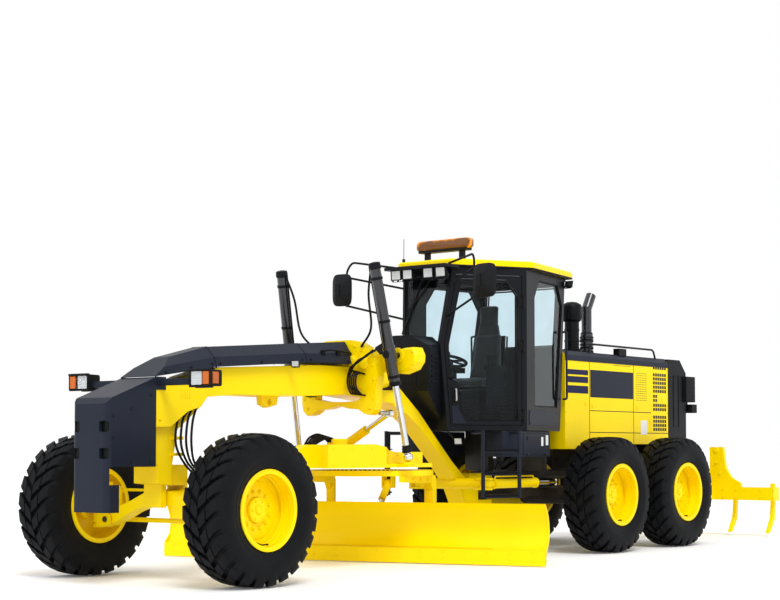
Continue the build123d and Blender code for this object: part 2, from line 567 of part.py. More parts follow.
# ---------------------------------------------------------------- rear frame and tandems
CASE_IN, CASE_OUT = 560, 775
with BuildPart() as rear_frame:
    for side in SIDES.values():
        block(-8400, -5080, side * 200, side * 340, 620, 900)
    block(-5200, -5060, -340, 340, 600, 900)
    block(-8400, -8300, -340, 340, 600, 1000)
    block(-6650, -6340, -340, 340, 560, 900)
    # hinge ears between the front frame's
    for low, high in ((600, 650), (770, 820)):
        eye_plate(from_top(low), [(HINGE_X, 0, 100), (-5080, -200, 20), (-5080, 200, 20)], high - low)
    rod((HINGE_X, 0, 536), (HINGE_X, 0, 884), HINGE_PIN_R)
    # clevises of the articulation rods
    for side in SIDES.values():
        for low in (ARTIC_Z - 65, ARTIC_Z + 40):
            block(ARTIC_REAR_X - 110, ARTIC_REAR_X + 100, side * 335, side * 560, low, low + 25)
        block(ARTIC_REAR_X - 150, ARTIC_REAR_X - 110, side * 335, side * 560, ARTIC_Z - 65, ARTIC_Z + 65)
    # axle tube to the tandem cases
    rod((TANDEM_X, -CASE_IN, HUB_Z), (TANDEM_X, CASE_IN, HUB_Z), 150)
    # cab and hood supports
    for side in SIDES.values():
        block(-5300, -5200, side * 200, side * 520, 900, 1340)
        block(-7900, -7800, side * 200, side * (HOOD_HALF - 25.5), 900, 1340)
    # rear ripper brackets
    for side in SIDES.values():
        for y in (side * 250, side * 330):
            eye_plate(from_left(y + 15), [(RIPPER_PIVOT[0], RIPPER_PIVOT[1], 55), (-8400, 640, 40),
                                          (-8400, 540, 40)], 30)
        rod((RIPPER_PIVOT[0], side * 230, RIPPER_PIVOT[1]), (RIPPER_PIVOT[0], side * 350, RIPPER_PIVOT[1]), 28)
    block(-8420, -8400, -340, 340, 500, 1340)
    for y in (-65, 45):
        eye_plate(from_left(y + 20), [(RIPPER_BASE[0], RIPPER_BASE[1], 48), (-8441, 1220, 40),
                                      (-8441, 1300, 40)], 20)
    rod((RIPPER_BASE[0], -66, RIPPER_BASE[1]), (RIPPER_BASE[0], 66, RIPPER_BASE[1]), 24)
keep("rear_frame", rear_frame)

with BuildPart() as tandem_cases:
    for side in SIDES.values():
        y0, y1 = side * CASE_IN, side * CASE_OUT
        eye_plate(from_left(max(y0, y1)), [(TANDEM_X + TANDEM_PITCH / 2, HUB_Z, 150),
                                           (TANDEM_X, HUB_Z + 20, 210),
                                           (TANDEM_X - TANDEM_PITCH / 2, HUB_Z, 150)], CASE_OUT - CASE_IN)
        for step in (-1, 1):
            x = TANDEM_X + step * TANDEM_PITCH / 2
            rod((x, side * 700, HUB_Z), (x, side * 1088, HUB_Z), SPINDLE_R)
            rod((x, side * 700, HUB_Z), (x, side * 960, HUB_Z), 110)
keep("tandem_cases", tandem_cases)

with BuildPart() as engine:
    block(-7700, -6700, -300, 300, 905, 1750)
keep("engine", engine)

# ---------------------------------------------------------------- hood
with BuildPart() as hood:
    slab(from_left(HOOD_HALF), [
        (HOOD_FRONT, HOOD_TOP), (HOOD_FRONT, 1143), (-5873, 1143), (-6000, SKIRT_LOW), (-6950, SKIRT_LOW),
        (-7090, 1200), (HOOD_REAR, 1200), (HOOD_REAR, HOOD_TOP)], 2 * HOOD_HALF)
    fillet(hood.edges().filter_by(Axis.X).group_by(Axis.Z)[-1], 70)
    block(HOOD_REAR + 25, HOOD_FRONT - 25, -HOOD_HALF + 25, HOOD_HALF - 25, 900, HOOD_TOP - 90, Mode.SUBTRACT)
keep("hood", hood)

with BuildPart() as radiator_guard:
    slab(from_left(HOOD_HALF), [(HOOD_REAR - 5, GUARD_LOW), (HOOD_REAR - 5, HOOD_TOP), (GUARD_REAR + 160, HOOD_TOP),
                                (GUARD_REAR, HOOD_TOP - 160), (GUARD_REAR, GUARD_LOW)], 2 * HOOD_HALF)
keep("radiator_guard", radiator_guard)

with BuildPart() as exhaust:
    rod((-6517, 300, HOOD_TOP), (-6517, 300, 2820), 60)
    rod((-6517, 300, HOOD_TOP), (-6517, 300, 2500), 74)
    rod((-6517, 300, 2790), (-6620, 300, 2960), 60)
keep("exhaust", exhaust)


# ---------------------------------------------------------------- cab
def cab_section(level, inset=0):
    """Plan outline of the cab at one of its three levels, moved in by a wall's thickness."""
    (ax, ay), (bx, by), (cx, cy) = CAB_A[level], CAB_B, CAB_C[level]
    corners = [(ax, ay), (bx, by), (cx, cy), (cx, -cy), (bx, -by), (ax, -ay)]
    with BuildSketch() as outline:
        with BuildLine():
            Polyline(*corners, close=True)
        make_face()
        if inset:
            offset(amount=-inset, kind=Kind.INTERSECTION)
    return outline.sketch


def cab_prism(inset, low, high):
    """Upper and lower cab bodies joined at the knee."""
    with BuildPart() as prism:
        loft([cab_section(0, inset).moved(Location((0, 0, low))),
              cab_section(1, inset).moved(Location((0, 0, CAB_KNEE)))], ruled=True)
        loft([cab_section(1, inset).moved(Location((0, 0, CAB_KNEE))),
              cab_section(2, inset).moved(Location((0, 0, high)))], ruled=True)
    return prism.part


DOOR_RUN = Vector(CAB_A[0][0] - CAB_B[0], CAB_A[0][1] - CAB_B[1], 0)
DOOR_DIR = DOOR_RUN.normalized()
REAR_DIR = Vector(CAB_C[0][0] - CAB_B[0], CAB_C[0][1] - CAB_B[1], 0).normalized()


def face_plane(direction, side):
    """Vertical sketch plane through a B-corner: local x along a side face, local y up,
    extruding inwards."""
    x_dir = Vector(direction.X, side * direction.Y, 0)
    up = Vector(0, 0, 1)
    normal = x_dir.cross(up)
    return Plane(origin=(CAB_B[0], side * CAB_B[1], 0), x_dir=tuple(x_dir), z_dir=tuple(normal))


def on_door(x):
    """Distance along the door face from the B-corner for a given x."""
    return (x - CAB_B[0]) / DOOR_DIR.X


door_edge = [on_door(CAB_A[0][0]), on_door(CAB_A[1][0]), on_door(CAB_A[2][0])]
DOOR_OPENING = [(55, CAB_SILL + 20), (door_edge[0] - 40, CAB_SILL + 20), (door_edge[1] - 40, CAB_KNEE),
                (door_edge[2] - 40, CAB_TOP - 90), (55, CAB_TOP - 90)]
rear_edge = [(x - CAB_B[0]) / REAR_DIR.X for x, _ in CAB_C]
REAR_OPENING = [(230, 1600), (rear_edge[0] - 90, 1600), (rear_edge[1] - 85, CAB_KNEE),
                (rear_edge[2] - 85, CAB_TOP - 330), (rear_edge[2] - 230, CAB_TOP - 105),
                (370, CAB_TOP - 105), (230, CAB_TOP - 300)]


def cut_face(direction, side, outline, depth, out=60):
    """Cuts an opening through a side wall, from outside inwards."""
    plane = face_plane(direction, side)
    inward = plane.z_dir if (plane.z_dir.Y * side) < 0 else -plane.z_dir
    start = Plane(origin=plane.origin - inward * out, x_dir=plane.x_dir, z_dir=plane.z_dir)
    with BuildSketch(start) as hole:
        with BuildLine():
            Polyline(*outline, close=True)
        make_face()
    sign = 1 if (plane.z_dir.Y * side) < 0 else -1
    extrude(hole.sketch, amount=sign * (depth + out), mode=Mode.SUBTRACT)


outer_body = cab_prism(0, CAB_SILL, CAB_TOP)
inner_body = cab_prism(CAB_WALL, CAB_SILL, CAB_TOP)
with BuildPart() as cab:
    add(outer_body)
    add(inner_body, mode=Mode.SUBTRACT)
    for side in SIDES.values():
        cut_face(DOOR_DIR, side, DOOR_OPENING, 140)
        cut_face(REAR_DIR, side, REAR_OPENING, 140)
    # windshield and rear window
    slab(from_front(-4000), [(-217, CAB_KNEE + 15), (217, CAB_KNEE + 15), (292, CAB_TOP - 95),
                             (-292, CAB_TOP - 95)], 500, Mode.SUBTRACT)
    block(-5750, -5300, -480, 480, 2290, CAB_TOP - 100, Mode.SUBTRACT)
    # floor
    loft([cab_section(0, 2).moved(Location((0, 0, CAB_SILL - 30))),
          cab_section(0, 2).moved(Location((0, 0, CAB_SILL + 5)))], ruled=True)
    # cowl in front of the knee, tapering forwards
    faces = []
    for x, half, low, high in COWL_ENDS:
        with BuildSketch(from_front(x)) as end:
            with BuildLine():
                Polyline((-half, low), (-half, high), (-105, COWL_RIDGE), (105, COWL_RIDGE), (half, high),
                         (half, low), close=True)
            make_face()
        faces.append(end.sketch)
    loft(faces, ruled=True)
    # visor bar for the front work lamps
    block(-3830, -3560, -400, 400, 3036, CAB_TOP - 1)
    add(inner_body, mode=Mode.SUBTRACT)
    loft([cab_section(0, 2).moved(Location((0, 0, CAB_SILL - 30))),
          cab_section(0, 2).moved(Location((0, 0, CAB_SILL + 5)))], ruled=True)
keep("cab", cab)

with BuildPart() as roof:
    slab(from_top(CAB_TOP), [(-3745, 352), (-4560, 840), (-5690, 620), (-5690, -620), (-4560, -840),
                             (-3745, -352)], 70)
    chamfer(roof.edges().group_by(Axis.Z)[-1], 18)
keep("roof", roof)

with BuildPart() as beacon:
    block(-4167, -4047, -360, 360, 3255, 3405)
    fillet(beacon.edges().filter_by(Axis.Y), 30)
    for y in (-230, 230):
        block(-4140, -4074, y - 30, y + 30, CAB_TOP + 70, 3262)
keep("beacon", beacon)

DOOR_T = 45
for side_name, side in SIDES.items():
    plane = face_plane(DOOR_DIR, side)
    sign = 1 if (plane.z_dir.Y * side) < 0 else -1
    outline = [(61, CAB_SILL + 26), (door_edge[0] - 46, CAB_SILL + 26), (door_edge[1] - 46, CAB_KNEE),
               (door_edge[2] - 46, CAB_TOP - 96), (61, CAB_TOP - 96)]
    window = [(110, 1440), (door_edge[0] - 240, 1440), (door_edge[0] - 150, 1540), (door_edge[0] - 128, 1830),
              (door_edge[1] - 84, 1880), (door_edge[1] - 84, CAB_KNEE), (door_edge[2] - 84, CAB_TOP - 136),
              (230, CAB_TOP - 136), (110, CAB_TOP - 290)]
    with BuildPart() as door:
        with BuildSketch(plane) as leaf:
            with BuildLine():
                Polyline(*outline, close=True)
            make_face()
            with BuildLine():
                Polyline(*window, close=True)
            make_face(mode=Mode.SUBTRACT)
        extrude(leaf.sketch, amount=sign * DOOR_T)
    keep("door_" + side_name, door)

with BuildPart() as seat:
    block(-4900, -4420, -250, 250, 1790, 1910)
    slab(from_left(240), [(-4900, 1880), (-4800, 1900), (-4880, 2400), (-5000, 2400), (-5010, 1900)], 480)
    slab(from_left(170), [(-4880, 2390), (-4890, 2520), (-4990, 2520), (-5000, 2390)], 340)
    slab(from_left(130), [(-4890, 2500), (-4900, 2740), (-4990, 2740), (-4985, 2500)], 260)
keep("seat", seat)

with BuildPart() as console:
    block(-4880, -4450, -200, 200, CAB_SILL + 6, 1780)
    block(-4130, -3990, -70, 70, CAB_SILL + 6, CAB_SILL + 80)
    rod((-4060, 0, CAB_SILL + 50), (-4180, 0, 2060), 45)
    with BuildSketch(Plane(origin=(-4190, 0, 2080), z_dir=(-0.3, 0, 1))) as wheel:
        Circle(190)
        Circle(165, mode=Mode.SUBTRACT)
    extrude(wheel.sketch, amount=25)
    rod((-4190, -170, 2090), (-4190, 170, 2090), 12)
    rod((-4180, 0, 2040), (-4190, 0, 2092), 30)
keep("console", console)

# ---------------------------------------------------------------- steps and boxes beside the cab
with BuildPart() as steps:
    for side in SIDES.values():
        # box below the cab's side corner
        slab(from_top(1060), [(-4420, side * 770), (-5200, side * 625), (-5200, side * 525),
                              (-4250, side * 430), (-4250, side * 640)], 276)
        ladder_out = (-3900, side * 640), (-4230, side * 870)
        for x, y in ladder_out:
            rod((x, y, 632), (x, y, 1338), 21)
        for z in (650, 885, 1120):
            rod((*ladder_out[0], z), (*ladder_out[1], z), 16)
        # the ladder's heads run back to the cab's sill
        for (x, y), (bx, by) in zip(ladder_out, ((-4060, 400), (-4350, 650))):
            rod((x, y, 1315), (bx, side * by, 1315), 17)
            rod((bx, side * by, 1292), (bx, side * by, CAB_SILL - 30), 21)
keep("steps", steps)

# ---------------------------------------------------------------- ripper
with BuildPart() as ripper_frame:
    block(RIPPER_BEAM_X - 90, RIPPER_BEAM_X + 90, -RIPPER_HALF, RIPPER_HALF, 470, 640)
    for side in SIDES.values():
        y = side * 290
        slab(from_left(y + 22), [(RIPPER_PIVOT[0] - 20, 515), (RIPPER_PIVOT[0] - 20, 605),
                                 (-9500, 700), (-9700, 640), (-9700, 470), (-9500, 470)], 44)
        rod((RIPPER_PIVOT[0], y - 22, RIPPER_PIVOT[1]), (RIPPER_PIVOT[0], y + 22, RIPPER_PIVOT[1]), 50)
        rod((RIPPER_PIVOT[0], y - 23, RIPPER_PIVOT[1]), (RIPPER_PIVOT[0], y + 23, RIPPER_PIVOT[1]),
            28 + PIN_GAP, Mode.SUBTRACT)
    for y in (-85, 60):
        slab(from_left(y + 25), [(-9700, 560), (-9420, 560), (-9400, 1168), (-9430, 1215), (-9480, 1215),
                                 (-9560, 1100)], 25)
    block(-9600, -9430, -290, 290, 560, 640)
    for k in range(-2, 3):
        block(RIPPER_BEAM_X - 150, RIPPER_BEAM_X - 90, k * SHANK_PITCH - 60, k * SHANK_PITCH + 60, 470, 640)
        block(RIPPER_BEAM_X - 135, RIPPER_BEAM_X - 65, k * SHANK_PITCH - 25, k * SHANK_PITCH + 25, 400, 700,
              Mode.SUBTRACT)
    # uprights on the beam that carry the linkage's upper pins
    for side in SIDES.values():
        slab(from_front(RIPPER_BEAM_X + 30), [(side * y, z) for y, z in (
            (255, 600), (700, 600), (700, 690), (560, 770), (480, 900), (445, 1168), (255, 1168))], 60)
keep("ripper_frame", ripper_frame)

with BuildPart() as ripper_shanks:
    for k in range(-2, 3):
        x = RIPPER_BEAM_X - 100
        slab(from_left(k * SHANK_PITCH + 23), [
            (x - 33, 690), (x + 33, 690), (x + 33, 420), (x + 60, 250), (x + 190, 60), (x + 175, 45),
            (x + 130, 60), (x - 5, 220), (x - 33, 420)], 46)
keep("ripper_shanks", ripper_shanks)

base, eye = (RIPPER_BASE[0], 0, RIPPER_BASE[1]), (RIPPER_EYE[0], 0, RIPPER_EYE[1])
with BuildPart() as ripper_tube:
    rod(along(base, eye, 20), along(base, eye, 120), 36)
    rod(along(base, eye, 80), along(base, eye, 640), 55)
    rod((base[0], -40, base[2]), (base[0], 40, base[2]), 46)
    rod((base[0], -43, base[2]), (base[0], 43, base[2]), 24 + PIN_GAP, Mode.SUBTRACT)
    rod(along(base, eye, 80), along(base, eye, 700), 30 + PIN_GAP, Mode.SUBTRACT)
keep("ripper_cylinder", ripper_tube)
with BuildPart() as ripper_rod:
    rod(along(base, eye, 330), eye, 30)
    rod((eye[0], -50, eye[2]), (eye[0], 50, eye[2]), 42)
keep("ripper_rod", ripper_rod)

# ---------------------------------------------------------------- export about the footprint's middle
whole = Compound(children=[piece.moved(Location()) for piece in pieces.values()]).bounding_box()
SHIFT = (-(whole.min.X + whole.max.X) / 2, -(whole.min.Y + whole.max.Y) / 2, -whole.min.Z)

os.makedirs("parts", exist_ok=True)
for name, piece in pieces.items():
    placed = piece.moved(Location(SHIFT))
    placed.label = name
    export_step(placed, f"parts/{name}.step")
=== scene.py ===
"""Motor grader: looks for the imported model, in metres in the model's own frame."""
import bpy
import bmesh
import math
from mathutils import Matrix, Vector


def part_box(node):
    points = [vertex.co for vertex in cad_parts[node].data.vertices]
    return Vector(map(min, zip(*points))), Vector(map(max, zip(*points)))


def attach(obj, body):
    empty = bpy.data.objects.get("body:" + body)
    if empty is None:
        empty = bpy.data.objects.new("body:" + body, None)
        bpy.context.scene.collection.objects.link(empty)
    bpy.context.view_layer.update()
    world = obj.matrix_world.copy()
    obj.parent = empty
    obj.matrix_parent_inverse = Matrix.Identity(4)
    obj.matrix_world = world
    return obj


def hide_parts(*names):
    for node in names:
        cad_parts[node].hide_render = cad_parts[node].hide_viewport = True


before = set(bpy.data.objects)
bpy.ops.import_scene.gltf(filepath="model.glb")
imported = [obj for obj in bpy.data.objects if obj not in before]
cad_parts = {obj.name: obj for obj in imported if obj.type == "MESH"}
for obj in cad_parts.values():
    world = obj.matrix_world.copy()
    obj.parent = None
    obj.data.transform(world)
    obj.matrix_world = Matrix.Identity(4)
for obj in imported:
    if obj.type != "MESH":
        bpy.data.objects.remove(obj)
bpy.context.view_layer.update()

TAU = 2 * math.pi

# ------------------------------------------------------------------ places
# Working axes: millimetres, x 0 at the front axle and forwards, y to the left, z up.
UP, AHEAD = (0, 0, 1), (1, 0, 0)
BOTH = (1, -1)
SIDES = {"left": 1, "right": -1}
FRONT, REAR = "front_machine", "rear_machine"

AXLES = {"front": 0, "middle": -5732.5, "rear": -7257.5}
WHEEL_Y, WHEEL_Z = 1030, 640
CIRCLE_X = -2760
CIRCLE_TURN = math.radians(16.2)    # the blade group as parked
LIFTER_FACE = -2330
TANDEM_X = -6495
HINGE_X = -4800
HOOD_SIDE = 600
RIPPER_FACE = -9700

low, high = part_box("tyre_front_left")
HUB_X = (low.x + high.x) / 2
MIDDLE_Y = (low.y + high.y) / 2 - WHEEL_Y / 1000


def place(p):
    """A working point in the model's frame, in metres."""
    return Vector((HUB_X + p[0] / 1000, MIDDLE_Y + p[1] / 1000, p[2] / 1000))


def turned(p):
    """A point of the blade group's own axes in working axes."""
    c, s = math.cos(CIRCLE_TURN), math.sin(CIRCLE_TURN)
    return Vector((CIRCLE_X + p[0] * c - p[1] * s, p[0] * s + p[1] * c, p[2]))


def across(near, far):
    """Four corners of a face centred on the machine; near and far edges are (x, half width, z)."""
    (x0, wide0, z0), (x1, wide1, z1) = near, far
    return [(x0, -wide0, z0), (x0, wide0, z0), (x1, wide1, z1), (x1, -wide1, z1)]


def around(centre, r, count, phase=0.0, upright=False):
    """Points spaced round a circle that lies flat, or stands upright along the machine."""
    for k in range(count):
        a = TAU * (k + phase) / count
        c, s = r * math.cos(a), r * math.sin(a)
        yield Vector(centre) + Vector((c, 0, s) if upright else (c, s, 0))


# ------------------------------------------------------------------ materials
def put(node, values):
    """Sets a node's inputs by name."""
    for key, value in values.items():
        node.inputs[key].default_value = value


class Look:
    """A material under construction: a shader and the nodes that feed it."""

    def __init__(self, name):
        self.material = bpy.data.materials.new(name)
        self.material.use_nodes = True
        self.nodes, self.links = self.material.node_tree.nodes, self.material.node_tree.links
        self.nodes.clear()
        out = self.nodes.new("ShaderNodeOutputMaterial")
        self.shader = self.nodes.new("ShaderNodeBsdfPrincipled")
        self.links.new(self.shader.outputs[0], out.inputs[0])

    def feed(self, key, source):
        """Drives one of the shader's inputs."""
        self.links.new(source, self.shader.inputs[key])

    def wave(self, scale, distortion, axis="X"):
        """Ripples fixed to the object."""
        where = self.nodes.new("ShaderNodeTexCoord")
        w = self.nodes.new("ShaderNodeTexWave")
        w.bands_direction = axis
        put(w, {"Scale": scale, "Distortion": distortion})
        self.links.new(where.outputs["Object"], w.inputs["Vector"])
        return w.outputs["Fac"]

    def noise(self, scale, detail, stretch=(1, 1, 1)):
        """Cloudy noise fixed to the object."""
        where = self.nodes.new("ShaderNodeTexCoord")
        fit = self.nodes.new("ShaderNodeMapping")
        fit.inputs["Scale"].default_value = stretch
        n = self.nodes.new("ShaderNodeTexNoise")
        put(n, {"Scale": scale, "Detail": detail})
        self.links.new(where.outputs["Object"], fit.inputs[0])
        self.links.new(fit.outputs[0], n.inputs["Vector"])
        return n.outputs["Fac"]

    def ramp(self, source, stops):
        """Colours along a value: stops are (position, colour)."""
        r = self.nodes.new("ShaderNodeValToRGB")
        e = r.color_ramp.elements
        while len(e) < len(stops):
            e.new(0.5)
        for slot, (at, colour) in zip(e, stops):
            slot.position = at
            slot.color = (*colour, 1)
        self.links.new(source, r.inputs[0])
        self.feed("Base Color", r.outputs[0])

    def roughness(self, source, low, high):
        """Roughness between low and high along a value."""
        r = self.nodes.new("ShaderNodeMapRange")
        put(r, {"To Min": low, "To Max": high})
        self.links.new(source, r.inputs["Value"])
        self.feed("Roughness", r.outputs[0])

    def relief(self, height, strength, distance):
        """Bumps the surface by a height; returns the bump node."""
        bump = self.nodes.new("ShaderNodeBump")
        put(bump, {"Strength": strength, "Distance": distance})
        self.links.new(height, bump.inputs["Height"])
        self.feed("Normal", bump.outputs[0])
        return bump


def shaded(colour, share):
    """A colour made darker or lighter."""
    return tuple(min(1, c * share) for c in colour)


def surface(name, colour, rough, metal=0.0, coat=0.0, grain=900.0, bump=0.04, vary=0.12, patch=3.0,
            edge=0.0, stretch=(1, 1, 1), depth=0.001, shine=0.11):
    """Paint, plastic, rubber or bare metal with patchy tone, fine grain and softened edges."""
    m = Look(name)
    put(m.shader, {"Metallic": metal, "Coat Weight": coat, "Coat Roughness": 0.08,
                   "Specular IOR Level": shine})
    cloudy = m.noise(patch, 6.0)
    m.ramp(cloudy, [(0.3, shaded(colour, 1 - vary)), (0.5, colour), (0.72, shaded(colour, 1 + vary * 0.5))])
    m.roughness(cloudy, rough * 0.8, min(1, rough * 1.25))
    bumps = m.relief(m.noise(grain, 3.0, stretch), bump, depth)
    if edge:
        soft = m.nodes.new("ShaderNodeBevel")
        soft.samples = 3
        soft.inputs["Radius"].default_value = edge
        m.links.new(soft.outputs[0], bumps.inputs["Normal"])
    return m.material


def glass(name, colour):
    """Tinted pane: mostly clear, with a faint film of dust."""
    m = Look(name)
    film = m.noise(5.0, 8.0)
    m.ramp(film, [(0.3, shaded(colour, 0.94)), (0.7, colour)])
    put(m.shader, {"Transmission Weight": 1.0, "IOR": 1.2})
    m.roughness(film, 0.0, 0.03)
    return m.material


def lens(name, colour, ribs=60.0, warp=0.4, fold_shade=0.72):
    """Moulded lamp lens with prism ribs, with painted shade darkening the creases between them."""
    m = Look(name)
    wave = m.wave(ribs, warp)
    # painted shade: the creases between the ribs take the darker colour
    m.ramp(wave, [(0.2, shaded(colour, fold_shade)), (0.8, colour)])
    put(m.shader, {"Roughness": 0.12, "Coat Weight": 0.2, "Specular IOR Level": 0.3,
                   "Transmission Weight": 0.08})
    m.relief(wave, 0.35, 0.003)
    return m.material


def cloth(name, colour):
    """Woven seat cloth."""
    m = Look(name)
    weave = m.nodes.new("ShaderNodeMath")
    weave.operation = "MULTIPLY"
    for i in (0, 1):
        m.links.new(m.wave(160.0, 1.2, "XY"[i]), weave.inputs[i])
    m.ramp(weave.outputs[0], [(0.1, shaded(colour, 0.6)), (0.8, colour)])
    m.roughness(weave.outputs[0], 0.8, 0.95)
    put(m.shader, {"Sheen Weight": 0.3})
    m.relief(weave.outputs[0], 0.4, 0.001)
    return m.material


MAT = {
    "yellow": surface("yellow_paint", (1.0, 0.73, 0.0), 0.34, coat=0.04, grain=260, bump=0.03, vary=0.05,
                      patch=1.3, edge=0.006),
    "charcoal": surface("charcoal_paint", (0.0135, 0.0175, 0.030), 0.4, coat=0.03, grain=420, bump=0.05,
                        vary=0.16, patch=1.6, edge=0.008),
    "navy": surface("navy_stripe", (0.006, 0.008, 0.05), 0.4, coat=0.05, grain=300, bump=0.02, vary=0.1),
    "black": surface("black_paint", (0.0045, 0.005, 0.0065), 0.42, coat=0.03, grain=500, bump=0.06, vary=0.25,
                     patch=4, edge=0.004),
    "gloss": surface("tube_paint", (0.008, 0.009, 0.014), 0.2, coat=0.5, grain=500, bump=0.03, vary=0.15,
                     edge=0.003, shine=0.5),
    "frame": surface("cab_frame_paint", (0.0055, 0.0065, 0.009), 0.36, coat=0.05, grain=500, bump=0.04,
                     vary=0.2, edge=0.006),
    "tyre": surface("tyre_rubber", (0.0055, 0.006, 0.0072), 0.55, grain=380, bump=0.16, vary=0.35, patch=7,
                    edge=0.004, depth=0.002, shine=0.09),
    "rubber": surface("hose_rubber", (0.007, 0.007, 0.008), 0.55, grain=700, bump=0.12, vary=0.3, patch=12),
    "rod": surface("chromed_rod", (0.72, 0.73, 0.75), 0.12, metal=1.0, grain=300, bump=0.02, vary=0.06,
                   stretch=(1, 1, 0.05)),
    "steel": surface("dark_steel", (0.055, 0.052, 0.05), 0.5, metal=0.55, grain=300, bump=0.2, vary=0.3,
                     patch=8, edge=0.003),
    "zinc": surface("zinc_bolts", (0.48, 0.47, 0.43), 0.35, metal=1.0, grain=500, bump=0.1, vary=0.2,
                    patch=20),
    "plastic": surface("grained_plastic", (0.009, 0.0095, 0.011), 0.6, grain=520, bump=0.3, vary=0.15),
    "interior": surface("cab_trim", (0.016, 0.017, 0.019), 0.75, grain=420, bump=0.3, vary=0.2),
    "mesh": surface("grille_mesh", (0.016, 0.016, 0.018), 0.5, metal=0.3, grain=200, bump=0.3, vary=0.25),
    "silver": surface("silver_trim", (0.55, 0.56, 0.57), 0.3, metal=0.8, grain=400, bump=0.05, vary=0.1),
    "white": surface("white_plate", (0.8, 0.8, 0.78), 0.4, grain=300, bump=0.03, vary=0.04),
    # lamp reflectors: plain white stands in for the chrome's painted reflection of the bright surroundings
    "lamp": surface("reflector_painted_reflection", (0.86, 0.87, 0.88), 0.25, coat=0.5, grain=60, bump=0.3, vary=0.06,
                    shine=0.5),
    "mirror": surface("mirror_glass", (0.75, 0.78, 0.8), 0.03, metal=1.0, grain=20, bump=0.0, vary=0.03),
    "glass": glass("tinted_glass", (0.80, 0.91, 0.95)),
    "clear": glass("clear_lens", (0.92, 0.94, 0.95)),
    "amber": lens("amber_lens", (0.62, 0.13, 0.002)),
    # beacon: deep painted shade swirls through the creases of its ribs
    "beacon": lens("beacon_lens", (1.0, 0.33, 0.01), 3.2, 5.0, 0.16),
    "red": lens("red_lens", (0.45, 0.01, 0.008)),
    "cloth": cloth("seat_cloth", (0.03, 0.03, 0.033)),
}

CAD_LOOK = {
    "charcoal": ["nose_guard", "top_cover", "steps"],
    "frame": ["cab", "door_left", "door_right"],
    "gloss": ["lift_cylinder_left", "lift_cylinder_right", "exhaust"],
    "black": ["radiator_guard"],
    "steel": ["drawbar_ball", "engine", "rear_frame"],
    "rod": ["lift_rod_left", "lift_rod_right", "shift_rod", "tip_rod", "articulation_rod_left",
            "articulation_rod_right", "ripper_rod"],
    "plastic": ["console"], "cloth": ["seat"], "amber": ["beacon"]}
look_of = {n: k for k, names in CAD_LOOK.items() for n in names}    # the rest is yellow

for name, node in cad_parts.items():
    node.data.materials.clear()
    node.data.materials.append(MAT["tyre" if name.startswith("tyre_") else look_of.get(name, "yellow")])


